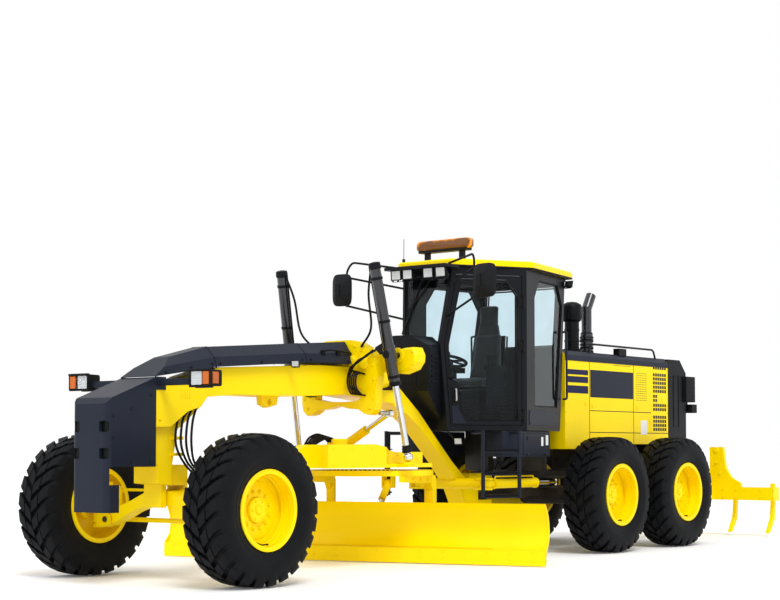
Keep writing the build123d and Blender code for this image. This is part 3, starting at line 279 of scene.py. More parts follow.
# ------------------------------------------------------------------ shapes
class Shape:
    """Gathers faces in working millimetres and makes pieces of them."""

    def __init__(self, bend=None):
        self.bm = bmesh.new()
        self.bend = bend or (lambda p: Vector(p))

    def block(self, x0, x1, y0, y1, z0, z1):
        """A box between limits along each axis."""
        corners = [(x, y, z) for x in (x0, x1) for y in (y0, y1) for z in (z0, z1)]
        v = [self.bm.verts.new(c) for c in corners]
        for q in ((0, 1, 3, 2), (4, 6, 7, 5), (0, 4, 5, 1), (2, 3, 7, 6), (0, 2, 6, 4), (1, 5, 7, 3)):
            self.bm.faces.new([v[i] for i in q])
        return self

    def both(self, x0, x1, y0, y1, z0, z1):
        """A box on the left and its mirror image on the right."""
        for side in BOTH:
            self.block(x0, x1, side * y0, side * y1, z0, z1)
        return self

    def tiers(self, levels):
        """A skin over upright rectangles across the machine, each (x, y0, y1, z0, z1)."""
        return self.rings([[(x, y0, z0), (x, y1, z0), (x, y1, z1), (x, y0, z1)]
                           for x, y0, y1, z0, z1 in levels])

    def prism(self, outline, step):
        """A flat outline pushed along a step."""
        step = Vector(step)
        a = [self.bm.verts.new(p) for p in outline]
        b = [self.bm.verts.new(Vector(p) + step) for p in outline]
        n = len(outline)
        self.bm.faces.new(a)
        self.bm.faces.new(list(reversed(b)))
        for i in range(n):
            self.bm.faces.new([a[i], b[i], b[(i + 1) % n], a[(i + 1) % n]])
        return self

    def rings(self, loops, closed=False, caps=True):
        """A skin over successive loops of points."""
        made = [[self.bm.verts.new(p) for p in loop] for loop in loops]
        n = len(made[0])
        pairs = list(zip(made, made[1:]))
        if closed:
            pairs.append((made[-1], made[0]))
        for a, b in pairs:
            for i in range(n):
                self.bm.faces.new([a[i], a[(i + 1) % n], b[(i + 1) % n], b[i]])
        if caps and not closed:
            self.bm.faces.new(list(reversed(made[0])))
            self.bm.faces.new(made[-1])
        return self

    def circle(self, centre, normal, radius, count):
        """Points round a circle that faces along a normal."""
        centre, normal = Vector(centre), Vector(normal).normalized()
        side = normal.orthogonal().normalized()
        up = normal.cross(side)
        return [centre + radius * (math.cos(TAU * i / count) * side + math.sin(TAU * i / count) * up)
                for i in range(count)]

    def bar(self, a, b, r, r2=None, count=20):
        """A round bar with softened ends."""
        a, b = Vector(a), Vector(b)
        d = (b - a).normalized()
        r2 = r if r2 is None else r2
        rim = min(r, r2) * 0.12
        loops = [self.circle(a, d, r - rim, count), self.circle(a + d * rim, d, r, count),
                 self.circle(b - d * rim, d, r2, count), self.circle(b, d, r2 - rim, count)]
        return self.rings(loops)

    def hose(self, points, r, count=10, steps=6, straight=False):
        """A tube along a smooth line through the points."""
        pts = [Vector(p) for p in points]
        if not straight and len(pts) > 2:
            ext = [2 * pts[0] - pts[1]] + pts + [2 * pts[-1] - pts[-2]]
            line = []
            for p0, p1, p2, p3 in zip(ext, ext[1:], ext[2:], ext[3:]):
                for k in range(steps):
                    t = k / steps
                    line.append(0.5 * ((2 * p1) + (p2 - p0) * t + (2 * p0 - 5 * p1 + 4 * p2 - p3) * t * t
                                       + (3 * p1 - p0 - 3 * p2 + p3) * t ** 3))
            line.append(pts[-1])
        else:
            line = pts
        loops = []
        side = None
        for i, p in enumerate(line):
            d = (line[min(i + 1, len(line) - 1)] - line[max(i - 1, 0)]).normalized()
            side = d.orthogonal().normalized() if side is None else (side - d * side.dot(d)).normalized()
            up = d.cross(side)
            loops.append([p + r * (math.cos(TAU * k / count) * side + math.sin(TAU * k / count) * up)
                          for k in range(count)])
        return self.rings(loops)

    def bent(self, points, r, corner=60):
        """A tube with straight runs and rounded corners."""
        pts = [Vector(p) for p in points]
        line = [pts[0]]
        for a, b, c in zip(pts, pts[1:], pts[2:]):
            u, w = (a - b), (c - b)
            reach = min(corner, u.length * 0.45, w.length * 0.45)
            p, q = b + u.normalized() * reach, b + w.normalized() * reach
            for k in range(6):
                t = k / 5
                line.append(p * (1 - t) ** 2 + b * 2 * t * (1 - t) + q * t * t)
        line.append(pts[-1])
        return self.hose(line, r, 12, straight=True)

    def lathe(self, section, centre, axis, count=64):
        """A turned body: section is (along, radius)."""
        centre, axis = Vector(centre), Vector(axis).normalized()
        side = axis.orthogonal().normalized()
        up = axis.cross(side)
        loops = []
        for i in range(count):
            out = math.cos(TAU * i / count) * side + math.sin(TAU * i / count) * up
            loops.append([centre + axis * a + out * r for a, r in section])
        return self.rings(loops, closed=True)

    def bolt(self, centre, normal, r=12, height=9):
        """A hexagon head on a washer."""
        centre, n = Vector(centre), Vector(normal).normalized()
        self.rings([self.circle(centre, n, r * 1.35, 16), self.circle(centre + n * 2.5, n, r * 1.3, 16)])
        self.rings([self.circle(centre + n * 2.5, n, r, 6), self.circle(centre + n * (height - 2), n, r, 6),
                    self.circle(centre + n * height, n, r * 0.84, 6)])
        return self

    def side_bolts(self, y, places, r=12, height=9):
        """Bolts on both sides, at (x, z) places."""
        for side in BOTH:
            for x, z in places:
                self.bolt((x, side * y, z), (0, side, 0), r, height)
        return self

    def plate(self, outline, thickness, normal):
        """A flat outline thickened along a normal."""
        return self.prism(outline, Vector(normal).normalized() * thickness)

    def box_at(self, centre, along, side, size):
        """A box round a centre: along and side are directions, size is (along, side, third)."""
        u = Vector(along).normalized()
        v = Vector(side)
        v = (v - u * v.dot(u)).normalized()
        w = u.cross(v)
        c = Vector(centre)
        a, b, h = (s / 2 for s in size)
        quad = [c - w * h + u * p + v * q for p, q in ((-a, -b), (a, -b), (a, b), (-a, b))]
        return self.prism(quad, w * 2 * h)

    def done(self, name, look, body, bevel=0.0, smooth=40, parts=2):
        """Turns the faces into a named piece that rides on a body, and starts the next piece."""
        bmesh.ops.recalc_face_normals(self.bm, faces=self.bm.faces)
        for v in self.bm.verts:
            v.co = place(self.bend(v.co))
        mesh = bpy.data.meshes.new(name)
        self.bm.to_mesh(mesh)
        self.bm.free()
        self.bm = bmesh.new()
        o = bpy.data.objects.new(name, mesh)
        bpy.context.scene.collection.objects.link(o)
        mesh.materials.append(MAT[look])
        if bevel:
            b = o.modifiers.new("edges", "BEVEL")
            b.width = bevel / 1000
            b.segments = parts
            b.limit_method = "ANGLE"
            b.angle_limit = math.radians(35)
        mesh.polygons.foreach_set("use_smooth", [True] * len(mesh.polygons))
        mesh.set_sharp_from_angle(angle=math.radians(smooth))
        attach(o, body)
        return o


# ------------------------------------------------------------------ tyres and wheels
CROWN = 640         # tread radius at the tyre's middle
PITCHES = 25        # pairs of lugs round the tyre


def crown(w):
    """Tread radius at a distance from the tyre's middle."""
    return CROWN - 10 * (abs(w) / 180) ** 2


def tyre(name, x, side):
    """A radial tyre with interlocking directional blocks."""
    half = [(0, 607), (90, 605), (160, 598), (188, 585), (205, 566), (215, 535), (221.5, 495), (222, 468),
            (219, 436), (214, 420), (212, 414), (213, 408), (209, 395), (202, 375), (196, 361), (194, 352),
            (189, 346), (186, 343), (186, 308), (150, 307)]
    section = half + [(-w, r) for w, r in reversed(half) if w > 0]
    s = Shape()
    centre = Vector((x, side * WHEEL_Y, WHEEL_Z))
    s.lathe(section, centre, (0, side, 0), 112)
    pitch = TAU / PITCHES

    def lug(stations):
        """One tread block over stations of (w, inner r, outer r, middle angle, half width angle)."""
        loops = []
        for w, r0, r1, mid, half_angle in stations:
            loop = []
            for r, share in ((r0, -1.14), (r0, 1.14), (r1 - 3, 1.02), (r1, 0.93), (r1, -0.93),
                             (r1 - 3, -1.02)):
                a = mid + half_angle * share
                loop.append(centre + Vector((-math.cos(a) * r, side * w, math.sin(a) * r)))
            loops.append(loop)
        s.rings(loops)

    for k in range(PITCHES):
        for hand in BOTH:
            a = k * pitch + (0 if hand > 0 else pitch / 2)

            def st(w, r0, r1, at, wide):
                """A station with its angles as shares of the pitch."""
                return hand * w, r0, r1, a - at * pitch, wide * pitch
            lug([st(5, 598, crown(5), -0.02, 0.25), st(9, 598, crown(9), 0.0, 0.31),
                 st(76, 596, crown(76), 0.34, 0.33), st(81, 596, crown(81), 0.37, 0.28)])
            lug([st(92, 594, crown(92), 0.46, 0.27), st(97, 594, crown(97), 0.49, 0.33),
                 st(150, 590, crown(150), 0.78, 0.35), st(186, 578, 622, 0.94, 0.35),
                 st(203, 562, 589, 1.0, 0.33), st(210, 546, 561, 1.02, 0.28), st(214.5, 530, 541, 1.02, 0.2)])
    o = s.done("tread_" + name, "tyre", "wheel_" + name, smooth=32)
    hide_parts("tyre_" + name)


def wheel_trim(name, x, side):
    """Raised disc, hub cap, studs, lock ring and valve of one wheel."""
    out = Vector((0, side, 0))
    centre = Vector((x, side * WHEEL_Y, WHEEL_Z))
    s = Shape()
    s.lathe([(37, 107), (46, 110), (47, 236), (44, 242), (37, 243)], centre, out, 72)
    s.lathe([(68, 40), (74, 41), (79, 62), (78, 96), (74, 103), (68, 104)], centre, out, 48)
    s.bar(centre + out * 72, centre + out * 86, 34, count=32)
    for e in BOTH:
        s.lathe([(e * w, r) for w, r in ((196, 325), (203, 330), (204, 337), (198, 342), (188, 340),
                                         (187, 332))], centre, out, 96)
    s.lathe([(150, 299), (153, 294), (160, 294), (163, 299)], centre, out, 96)
    s.lathe([(60, 299), (64, 288), (80, 286), (84, 299)], centre, out, 96)
    s.done("disc_" + name, "yellow", "wheel_" + name, smooth=35)
    for at in around(centre + out * 46, 156, 12, 0.5, upright=True):
        s.bolt(at, out, 14, 15)
        s.bar(at + out * 12, at + out * 24, 8, count=12)
    for at in around(centre + out * 77, 80, 6, upright=True):
        s.bolt(at, out, 7, 7)
    s.done("studs_" + name, "yellow", "wheel_" + name, smooth=30)
    low = centre - Vector((0, 0, 280))
    s.hose([low + Vector((0, 0, 10)) + out * 50, low - Vector((0, 0, 5)) + out * 110, low + out * 165], 6)
    s.bar(low + out * 163, low + out * 184, 8)
    s.done("valve_" + name, "black", "wheel_" + name)


for axle, wheel_x in AXLES.items():
    for side_name, side in SIDES.items():
        tyre(axle + "_" + side_name, wheel_x, side)
        wheel_trim(axle + "_" + side_name, wheel_x, side)

# ------------------------------------------------------------------ nose, covers and lamps
s = Shape()
s.side_bolts(220, ((800, 1040), (800, 1240), (800, 1420), (600, 1040), (600, 1480), (380, 1040), (380, 1600)),
             11, 8)
s.done("nose_bolts", "charcoal", FRONT, smooth=30)

for x, edge, ridge in ((-406, 1872, 2056), (-1620, 1960, 2148)):
    outer = [(216, edge), (192, edge + 91), (91, ridge + 2), (-91, ridge + 2), (-192, edge + 91),
             (-216, edge)]
    inner = [(y * 0.96, z - 8) for y, z in reversed(outer)]
    s.prism([(x - 5, y, z) for y, z in outer + inner], (10, 0, 0))
s.block(835.4, 837.6, -196, 196, 1030, 1420)
s.done("cover_seams", "black", FRONT, smooth=30)

for side in BOTH:
    for x, z in ((200, 1800), (-100, 1855), (-360, 1900), (-460, 1905), (-1000, 1940), (-1560, 1985),
                 (-1680, 1992), (-2240, 2000)):
        s.bolt((x, side * (214 if x > -2000 else 206), z), (0, side, 0.2), 9, 6)
    for x, z in ((-1880, 2072), (-2103, 2082)):
        s.block(x - 22, x + 22, side * 176, side * 200, z - 30, z + 18)
    s.bent([(-1880, side * 196, 2084), (-1960, side * 205, 2098), (-2103, side * 196, 2094),
            (-2300, side * 190, 2080)], 9)
s.done("cover_bolts", "black", FRONT, smooth=30)


def head_lamp(name, side):
    """A head lamp with its turn signal, on an arm."""
    x, y, z = 264, side * 754, 1735
    s = Shape()
    s.block(250, 300, side * 215, side * 640, 1684, 1742)
    s.block(205, 330, side * 205, side * 217, 1650, 1762)
    s.block(225, 270, side * 630, side * 800, 1655, 1668)
    s.block(238, 258, side * 628, side * 642, 1655, 1720)
    s.done("lamp_arm_" + name, "charcoal", FRONT, bevel=3)
    s.tiers([(x + depth, y - wide, y + wide, z - high, z + high)
             for depth, wide, high in ((-90, 95, 55), (-60, 118, 68), (62, 122, 70))])
    s.block(x + 55, x + 92, y - 126, y + 126, z + 58, z + 78)
    s.block(x + 55, x + 80, y - 126, y + 126, z - 76, z - 60)
    for e in (-1, 1):
        s.block(x + 55, x + 84, y + e * 126, y + e * 112, z - 66, z + 66)
    s.block(x + 55, x + 78, y + side * 28 - 6, y + side * 28 + 6, z - 66, z + 66)
    s.done("lamp_housing_" + name, "plastic", FRONT, bevel=7)
    # reflector bowl: its white is a painted reflection
    s.tiers([(x + 66, y - side * 108, y + side * 20, z - 56, z + 56),
             (x + 70, y - side * 104, y + side * 16, z - 52, z + 52)])
    for k in range(5):
        s.block(x + 69, x + 73, y - side * 96, y + side * 8, z - 42 + 20 * k, z - 38 + 20 * k)
    s.done("lamp_bowl_" + name, "lamp", FRONT, bevel=2)
    s.tiers([(x + 76, y - side * 110, y + side * 22, z - 58, z + 58),
             (x + 84, y - side * 106, y + side * 18, z - 54, z + 54)])
    s.done("lamp_lens_" + name, "clear", FRONT, bevel=3)
    s.tiers([(x + 64, y + side * 34, y + side * 112, z - 58, z + 58),
             (x + 84, y + side * 38, y + side * 108, z - 54, z + 54)])
    s.rings([[(x + x0, y + side * wide, z - high), (x + x1, y + side * wide, z - high),
              (x + x1, y + side * wide, z + high), (x + x0, y + side * wide, z + high)]
             for x0, x1, wide, high in ((-20, 52, 119, 52), (-16, 48, 132, 46))])
    s.done("turn_signal_" + name, "amber", FRONT, bevel=4)


for side_name, side in SIDES.items():
    head_lamp(side_name, side)


def work_lamp(name, at, facing, body, size, foot):
    """A small square work lamp on a stirrup, with a stem to its foot."""
    at, n = Vector(at), Vector(facing).normalized()
    v = Vector(UP)
    v = (v - n * v.dot(n)).normalized()
    u = v.cross(n)

    def square(depth, half, rise):
        """The lamp's outline at a depth."""
        return [at + n * depth * size + u * a * half * size + v * b * rise * size
                for a, b in ((-1, -1), (1, -1), (1, 1), (-1, 1))]
    s = Shape()
    s.rings([square(-62, 26, 22), square(-40, 44, 38), square(0, 58, 48), square(6, 60, 50)])
    s.rings([square(4, 60, 50), square(14, 60, 50), square(14, 52, 42), square(7, 50, 40)], caps=False)
    middle = at - n * 20 * size
    s.box_at(middle - v * 62 * size, u, n, (100 * size, 30 * size, 5 * size))
    for a in (-1, 1):
        s.box_at(middle + u * a * 61 * size - v * 30 * size, v, n, (66 * size, 24 * size, 5 * size))
    s.hose([middle - v * 60 * size, foot], 9 * size, straight=True)
    s.done("lamp_shell_" + name, "plastic", body, bevel=2.5)
    # reflector: its white is a painted reflection
    s.rings([square(6.5, 50, 40), square(9, 48, 38)])
    s.done("lamp_mirror_" + name, "lamp", body, bevel=1)
    s.rings([square(10, 51, 41), square(14, 49, 39)])
    s.done("lamp_glass_" + name, "clear", body, bevel=1)


work_lamp("cover", (-1399, 262, 1940), (0.8, 0.5, -0.2), FRONT, size=0.62, foot=(-1420, 214, 1925))

# ------------------------------------------------------------------ beam, hoses and lifter
for side in BOTH:
    for k in range(4):
        x = -150 + 62 * k
        s.hose([(x - 60, side * 170, 1530 - 30 * k), (x, side * 178, 1380), (x + 30, side * 196, 1180),
                (x + 20 - 20 * k, side * 240, 1010), (x - 120, side * (300 + 12 * k), 930 - 16 * k),
                (x - 200, side * (240 + 16 * k), 900 - 20 * k), (x - 120, side * 200, 860)], 11)
s.done("axle_hoses", "rubber", FRONT)

GUSSET = ((330, 1690), (120, 1712), (-160, 1752), (-330, 1700), (-300, 1600), (-225, 1517), (-63, 1470),
          (136, 1338), (330, 1331))
s.both(-150, 60, 148, 197, 1640, 1660)
for side in BOTH:
    # gusset plates behind the push plate, and pipe clamps
    s.plate([(x, side * 196, z) for x, z in GUSSET], 12, (0, side, 0))
    for k in range(5):
        s.block(-90 + 26 * k, -78 + 26 * k, side * 207, side * 210.5, 1580, 1660)
    s.bolt((270, side * 208, 1400), (0, side, 0), 13, 9)
    for z in (1100, 1240):
        s.block(-40, 80, side * 148, side * 180, z - 14, z + 14)
    # weld strips along the beam
    for z0, z1, x0, x1 in ((1640, 1636, -685, -1400), (1636, 1676, -1400, -2256)):
        s.hose([(x0, side * 149, z0 + 3), (x1, side * 149, z1 + 3)], 6, straight=True)
s.done("beam_gussets", "yellow", FRONT, bevel=2)

for side in BOTH:
    for k in range(5):
        y = side * (205 + 34 * k)
        s.hose([(-2325, y, 1905 - 8 * k), (-2262, y, 1912 - 8 * k), (-2215 + 9 * k, y + side * 14, 1850),
                (-2205 + 9 * k, y + side * 22, 1765 - 6 * k), (-2255, y + side * 16, 1690 - 4 * k),
                (-2325, y + side * 6, 1682 - 4 * k)], 9)
    for k in range(2):
        s.hose([(-2322, side * (475 - 30 * k), 2100), (-2240, side * (455 - 30 * k), 2060 - 20 * k),
                (-2210, side * (360 - 20 * k), 1990), (-2230, side * 240, 1930 - 30 * k),
                (-2300, side * 170, 1850)], 12)
    for k in range(4):
        s.hose([(-2450, side * (166 + 26 * k), 1790), (-2600, side * (170 + 20 * k), 1752),
                (-2800, side * (168 + 16 * k), 1745), (-2990, side * 165, 1750 + 14 * k),
                (-3120, side * 138, 1770)], 11)
s.done("lifter_hoses", "rubber", FRONT)

for side in BOTH:
    for y, z in ((300, 2110), (395, 2040), (440, 1960), (450, 1820), (440, 1640), (400, 1540), (210, 2150)):
        s.bolt((LIFTER_FACE, side * y, z), AHEAD, 13, 10)
    # rounded ends of the lock cylinders and the valve block's fittings
    s.lathe([(0, 4), (0, 52), (24, 52), (36, 40), (42, 4)], (LIFTER_FACE, side * 190, 2006), AHEAD, 32)
    s.lathe([(0, 4), (0, 64), (30, 64), (46, 46), (52, 4)], (LIFTER_FACE, side * 335, 1985), AHEAD, 32)
    for y, z in ((500, 1960), (560, 2075), (700, 2100), (820, 2080), (820, 1960), (700, 1910)):
        s.bolt((-2462, side * y, z), AHEAD, 11, 9)
    s.lathe([(0, 36), (0, 74), (12, 74), (16, 70), (16, 36)], (-2462, side * 646, 2050), AHEAD, 40)
s.block(LIFTER_FACE, -2262, -205, 110, 1830, 1985)
for k in range(6):
    s.bar((-2262, -180 + 52 * k, 1870), (-2240, -180 + 52 * k, 1870), 17, count=6)
    s.bar((-2262, -180 + 52 * k, 1945), (-2246, -180 + 52 * k, 1945), 15, count=16)
s.done("lifter_bolts", "yellow", FRONT, bevel=1.5, smooth=32)

s.bar((-2574, 430, 1495), (-2446, 430, 1495), 22)
s.lathe([(0, 4), (0, 34), (10, 34), (12, 4)], (-2586, 430, 1495), AHEAD, 24)
s.done("shift_pin", "zinc", "shift_ram")

for side_name, side in SIDES.items():
    top, ball = Vector((-2152, side * 597, 2930)), Vector((-2550, side * 700, 1067))
    run = (ball - top).normalized()
    s.lathe([(-6, 10), (-2, 40), (4, 56), (30, 60), (60, 60), (66, 53), (66, 48)], top, run, 40)
    s.lathe([(1160, 52), (1166, 60), (1190, 61), (1204, 55), (1206, 34), (1180, 34)], top, run, 40)
    for d in (140, 560, 1100):
        s.lathe([(d, 51), (d + 3, 58), (d + 27, 58), (d + 30, 51)], top, run, 40)
    inward = Vector((0, -side, 0))
    off = (inward - run * inward.dot(run)).normalized() * 68
    s.bent([top + run * d + off * share for d, share in ((30, 0.6), (40, 1), (1150, 1), (1180, 0.6))], 9, 30)
    s.done("lift_fittings_" + side_name, "black", "lift_tube_" + side_name, smooth=35)
    s.hose([top + run * 60 + off * 0.8, top + run * 300 + off * 2.0, top + run * 620 + off * 2.6,
            Vector((-2322, side * 300, 2140))], 11)
    s.bar((-2276, side * 646, 2050), (-2262, side * 646, 2050), 38, count=28)
    s.done("lift_hose_" + side_name, "rubber", "lift_tube_" + side_name)
    s.lathe([(-118, 34), (-110, 44), (-98, 38), (-86, 48), (-74, 42), (-62, 50), (-48, 48), (-42, 33),
             (-118, 33)], ball, run, 32)
    s.done("ball_boot_" + side_name, "rubber", "lift_ram_" + side_name)
    # seat of the ball on the drawbar
    s.block(-2620, -2480, side * 500, side * 752, 968, 1000)
    s.lathe([(-4, 4), (-4, 64), (14, 62), (16, 46), (4, 4)], (ball.x, ball.y, 1000), UP, 36)
    for x in (-2600, -2500):
        s.bolt((x, side * 640, 1005), UP, 11, 9)
    s.done("ball_seat_" + side_name, "yellow", "drawbar_body", bevel=3)

# ------------------------------------------------------------------ drawbar and circle
for side in BOTH:
    for x, z in ((-1520, 1150), (-1520, 1000), (-1800, 1150), (-1800, 1000), (-2090, 1150), (-2090, 1000)):
        s.bar((x, side * 622, z), (x, side * 630, z), 13, count=20)
    for x, z in ((-2560, 1060), (-2680, 1060), (-2810, 1060), (-2940, 1060), (-2640, 1090), (-2880, 1090)):
        s.bar((x, side * 503, z), (x, side * 512, z), 15, count=20)
for x in (-2980, -2700, -2420, -2140):
    for y in (-300, -120, 150, 400):
        if x != -2700 or y > -300:
            s.bolt((x, y, 1005), UP, 14, 11)
s.done("drawbar_bolts", "yellow", "drawbar_body", bevel=1.5, smooth=32)

motor = Vector((-2280, 60, 1005))
s.bar(motor, motor + Vector((0, 0, 120)), 120, count=40)
s.bar(motor + Vector((0, 0, 120)), motor + Vector((0, 0, 240)), 82, count=32)
for at in around(motor + Vector((0, 0, 118)), 102, 8):
    s.bolt(at, UP, 9, 9)
s.block(-2330, -2230, -60, 0, 1150, 1210)
s.done("circle_drive", "yellow", "drawbar_body", bevel=3, smooth=32)

for k in range(5):
    y = 40 - 26 * k
    s.hose([(-2290, y, 1190), (-2200 + 8 * k, y - 30, 1252 + 8 * k), (-2060 + 10 * k, y - 40, 1222 + 8 * k),
            (-1900, y - 20, 1150), (-1740, y, 1030)], 11)
    s.hose([(-1740, y, 1030), (-1500, y * 0.9, 1000), (-1200, y * 0.7, 930), (-900, y * 0.5, 860),
            (-640, y * 0.35, 800)], 11)
s.done("drawbar_hoses", "rubber", "drawbar_body")

TEETH = 72
for k in range(TEETH):
    loop = []
    for r, share in ((562, -0.30), (562, 0.30), (535, 0.14), (535, -0.14)):
        a = TAU * (k + share) / TEETH
        loop.append(Vector((CIRCLE_X + r * math.cos(a), r * math.sin(a), 884)))
    s.prism(loop, (0, 0, 47))
s.done("circle_teeth", "steel", "circle_body", smooth=30)

g = Shape(turned)       # for what turns with the blade
g.side_bolts(590, ((380, 850), (200, 845), (0, 840), (-200, 835)), 13, 10)
g.both(-352, -338, 500, 532, 380, 780)
for side in BOTH:
    g.lathe([(591, 10), (602, 10), (602, 48), (598, 54), (591, 56)], (-400, 0, 260), (0, side, 0), 36)
    g.bolt((-400, side * 602, 260), (0, side, 0), 22, 14)
g.done("circle_arm_bolts", "yellow", "circle_body", bevel=1.5, smooth=32)

# ------------------------------------------------------------------ blade
MID, HALF = -262, 2104      # middle and half length of the blade
BOLT_STEP = (2 * HALF - 240) / 17
for k in range(18):
    y = MID - HALF + 120 + k * BOLT_STEP
    for z in (70, 130):
        g.bar((-96, y, z), (-91, y, z), 13, count=16)
g.done("edge_bolts", "yellow", "blade", smooth=32)

for e in (-1, 1):
    y = MID + e * HALF
    outline = [(-120, 12), (-96, 12), (-96, 160), (-205, 250), (-222, 340), (-208, 430), (-150, 540),
               (-86, 611), (-112, 611), (-175, 545), (-235, 430), (-250, 340), (-232, 240), (-142, 130)]
    g.prism([(x, y - e * 14, z) for x, z in outline], (0, e * 17, 0))
    for x, z in ((-108, 60), (-118, 130)):
        g.bolt((x, y + e * 3, z), (0, e, 0), 11, 8)
    for k in range(-3, 3):
        g.block(-262, -244, y - e * 220, y - e * 190, 330 + 50 * k, 350 + 50 * k)
g.done("end_bits", "yellow", "blade", bevel=1.5, smooth=35)

for y in (MID - 1550, MID - 900, MID, MID + 900, MID + 1550):
    for z in (90, 174, 440, 524):
        g.block(-274, -222, y - 12, y + 12, z, z + 36)
g.done("rail_gussets", "yellow", "blade", bevel=1.5)

for k in (0, 1):
    g.hose([(-380, -92 + 32 * k, 470), (-424, -118 + 34 * k, 452), (-415, -180 + 40 * k, 405),
            (-345, -260 + 60 * k, 372)], 10)
for y in (-640, 600):
    g.lathe([(0, 35), (0, 44), (40, 44), (40, 35)], (-294, y, 330), (0, 1, 0), 24)
g.done("carrier_hoses", "rubber", "tip_body")

# ------------------------------------------------------------------ cab
A_X, A_Y = (-3745, -3685, -3800), (292, 250, 330)       # front pillar at sill, knee and top
B = Vector((-4484, 800, 0))                             # middle pillar
C_X, C_Y = (-5451, -5536, -5618), (600, 582, 565)       # rear pillar
KNEE, TOP = 2237, 3070
DOOR_DIR = Vector((A_X[0] - B.x, A_Y[0] - B.y, 0)).normalized()
BACK_DIR = Vector((C_X[0] - B.x, C_Y[0] - B.y, 0)).normalized()


def mirrored(run, side):
    """A level run as it lies on the left, or its mirror image on the right."""
    return Vector((run.x, side * run.y, 0))


def outward(run, side):
    """The level normal of a run that points away from the machine on one side."""
    n = Vector((run.y, -run.x, 0))
    return n if n.y * side > 0 else -n


def on_face(direction, side, depth):
    """Maps (distance from the middle pillar, height) to a side face of the cab, set in by a depth."""
    d = mirrored(direction, side)
    n = outward(d, side)
    return lambda t, z, more=0.0: mirrored(B, side) + d * t - n * (depth + more) + Vector((0, 0, z))


def pane(name, corners, inward, body):
    """A window pane with its rubber seal."""
    pts = [Vector(c) for c in corners]
    n = Vector(inward).normalized()
    s = Shape()
    s.prism(pts, n * 6)
    s.done("glass_" + name, "glass", body)
    inner = []
    for before, p, after in zip(pts[-1:] + pts, pts, pts[1:] + pts[:1]):
        a, b = (before - p).normalized(), (after - p).normalized()
        inner.append(p + (a + b) * 16 / max(0.3, a.cross(b).length))
    for i in range(len(pts)):
        quad = [pts[i - 1], pts[i], inner[i], inner[i - 1]]
        s.prism([q - n * 5 for q in quad], n * 10)
    s.done("seal_" + name, "rubber", body, bevel=1.5)


door_edge = [(x - B.x) / DOOR_DIR.x for x in A_X]
rear_edge = [(x - B.x) / BACK_DIR.x for x in C_X]
for side_name, side in SIDES.items():
    at = on_face(DOOR_DIR, side, 14)
    n = outward(mirrored(DOOR_DIR, side), side)
    body = "door_body_" + side_name
    edge = door_edge[0]
    outline = [(114, 1444), (edge - 244, 1444), (edge - 154, 1544), (edge - 132, 1834),
               (door_edge[1] - 88, 1884), (door_edge[1] - 88, KNEE), (door_edge[2] - 88, TOP - 140),
               (232, TOP - 140), (114, TOP - 292)]
    pane("door_" + side_name, [at(*p) for p in outline], -n, body)
    lower = on_face(DOOR_DIR, side, -3)
    # pressed lower panel of the door with its sloped front corner
    panel = [(edge - 210, 1410), (edge - 62, 1410), (edge - 50, 1560), (edge - 44, 1810), (edge - 112, 1790),
             (edge - 128, 1560)]
    s.plate([lower(*p) for p in panel], 5, n)
    s.done("door_panel_" + side_name, "charcoal", body, bevel=3)
    # handle, lock and hinges
    h = on_face(DOOR_DIR, side, -8)
    s.box_at(h(edge - 88, 1700), UP, n, (190, 22, 66))
    s.bar(h(edge - 88, 1640), h(edge - 88, 1640, -24), 12)
    for z in (1500, 2237, 2700):
        s.bar(h(40, z - 60), h(40, z + 60), 17)
        s.box_at(h(78, z), UP, n, (90, 12, 60))
    s.done("door_fittings_" + side_name, "black", body, bevel=2)
    foot, head = edge - 88, edge - 84
    s.bent([h(foot, 1650, -8), h(foot, 1650, -40), h(head, 1770, -40), h(head, 1770, -8)], 10, 20)
    s.done("door_handle_" + side_name, "silver", body)
    inside = on_face(DOOR_DIR, side, 44)
    s.bent([inside(88, 1600), inside(88, 1600, 50), inside(88, 2250, 50), inside(88, 2250)], 13, 40)
    s.box_at(inside(edge - 90, 1700, 12), UP, n, (160, 36, 60))
    s.done("door_inside_" + side_name, "interior", body, bevel=4)

    at = on_face(BACK_DIR, side, 18)
    n = outward(mirrored(BACK_DIR, side), side)
    pane("rear_" + side_name, [at(226, 1596), at(rear_edge[0] - 86, 1596), at(rear_edge[1] - 81, KNEE),
                               at(rear_edge[2] - 81, TOP - 328), at(rear_edge[2] - 228, TOP - 101),
                               at(368, TOP - 101), at(226, TOP - 298)], -n, REAR)
    out = on_face(BACK_DIR, side, -2)
    s.plate([out(60, 1395), out(rear_edge[0] - 70, 1395), out(rear_edge[0] - 76, 1560), out(60, 1560)], 4, n)
    foot, head = rear_edge[1] - 30, rear_edge[1] - 40
    s.bent([out(foot, 1700, -10), out(foot, 1700, -60), out(head, 2450, -60), out(head, 2450, -10)], 12, 40)
    for t, z in ((90, 1420), (90, 1535), (rear_edge[0] - 100, 1420), (rear_edge[0] - 100, 1535)):
        s.bolt(out(t, z), n, 8, 8)
    s.done("cab_side_" + side_name, "charcoal", REAR, bevel=2.5)

pane("windshield", across((-3710, 213, 2256), (-3806, 288, 2971)), (-1, 0, -0.13), REAR)
pane("rear_window", across((-5545, 470, 2296), (-5606, 470, 2964)), (1, 0, 0.1), REAR)

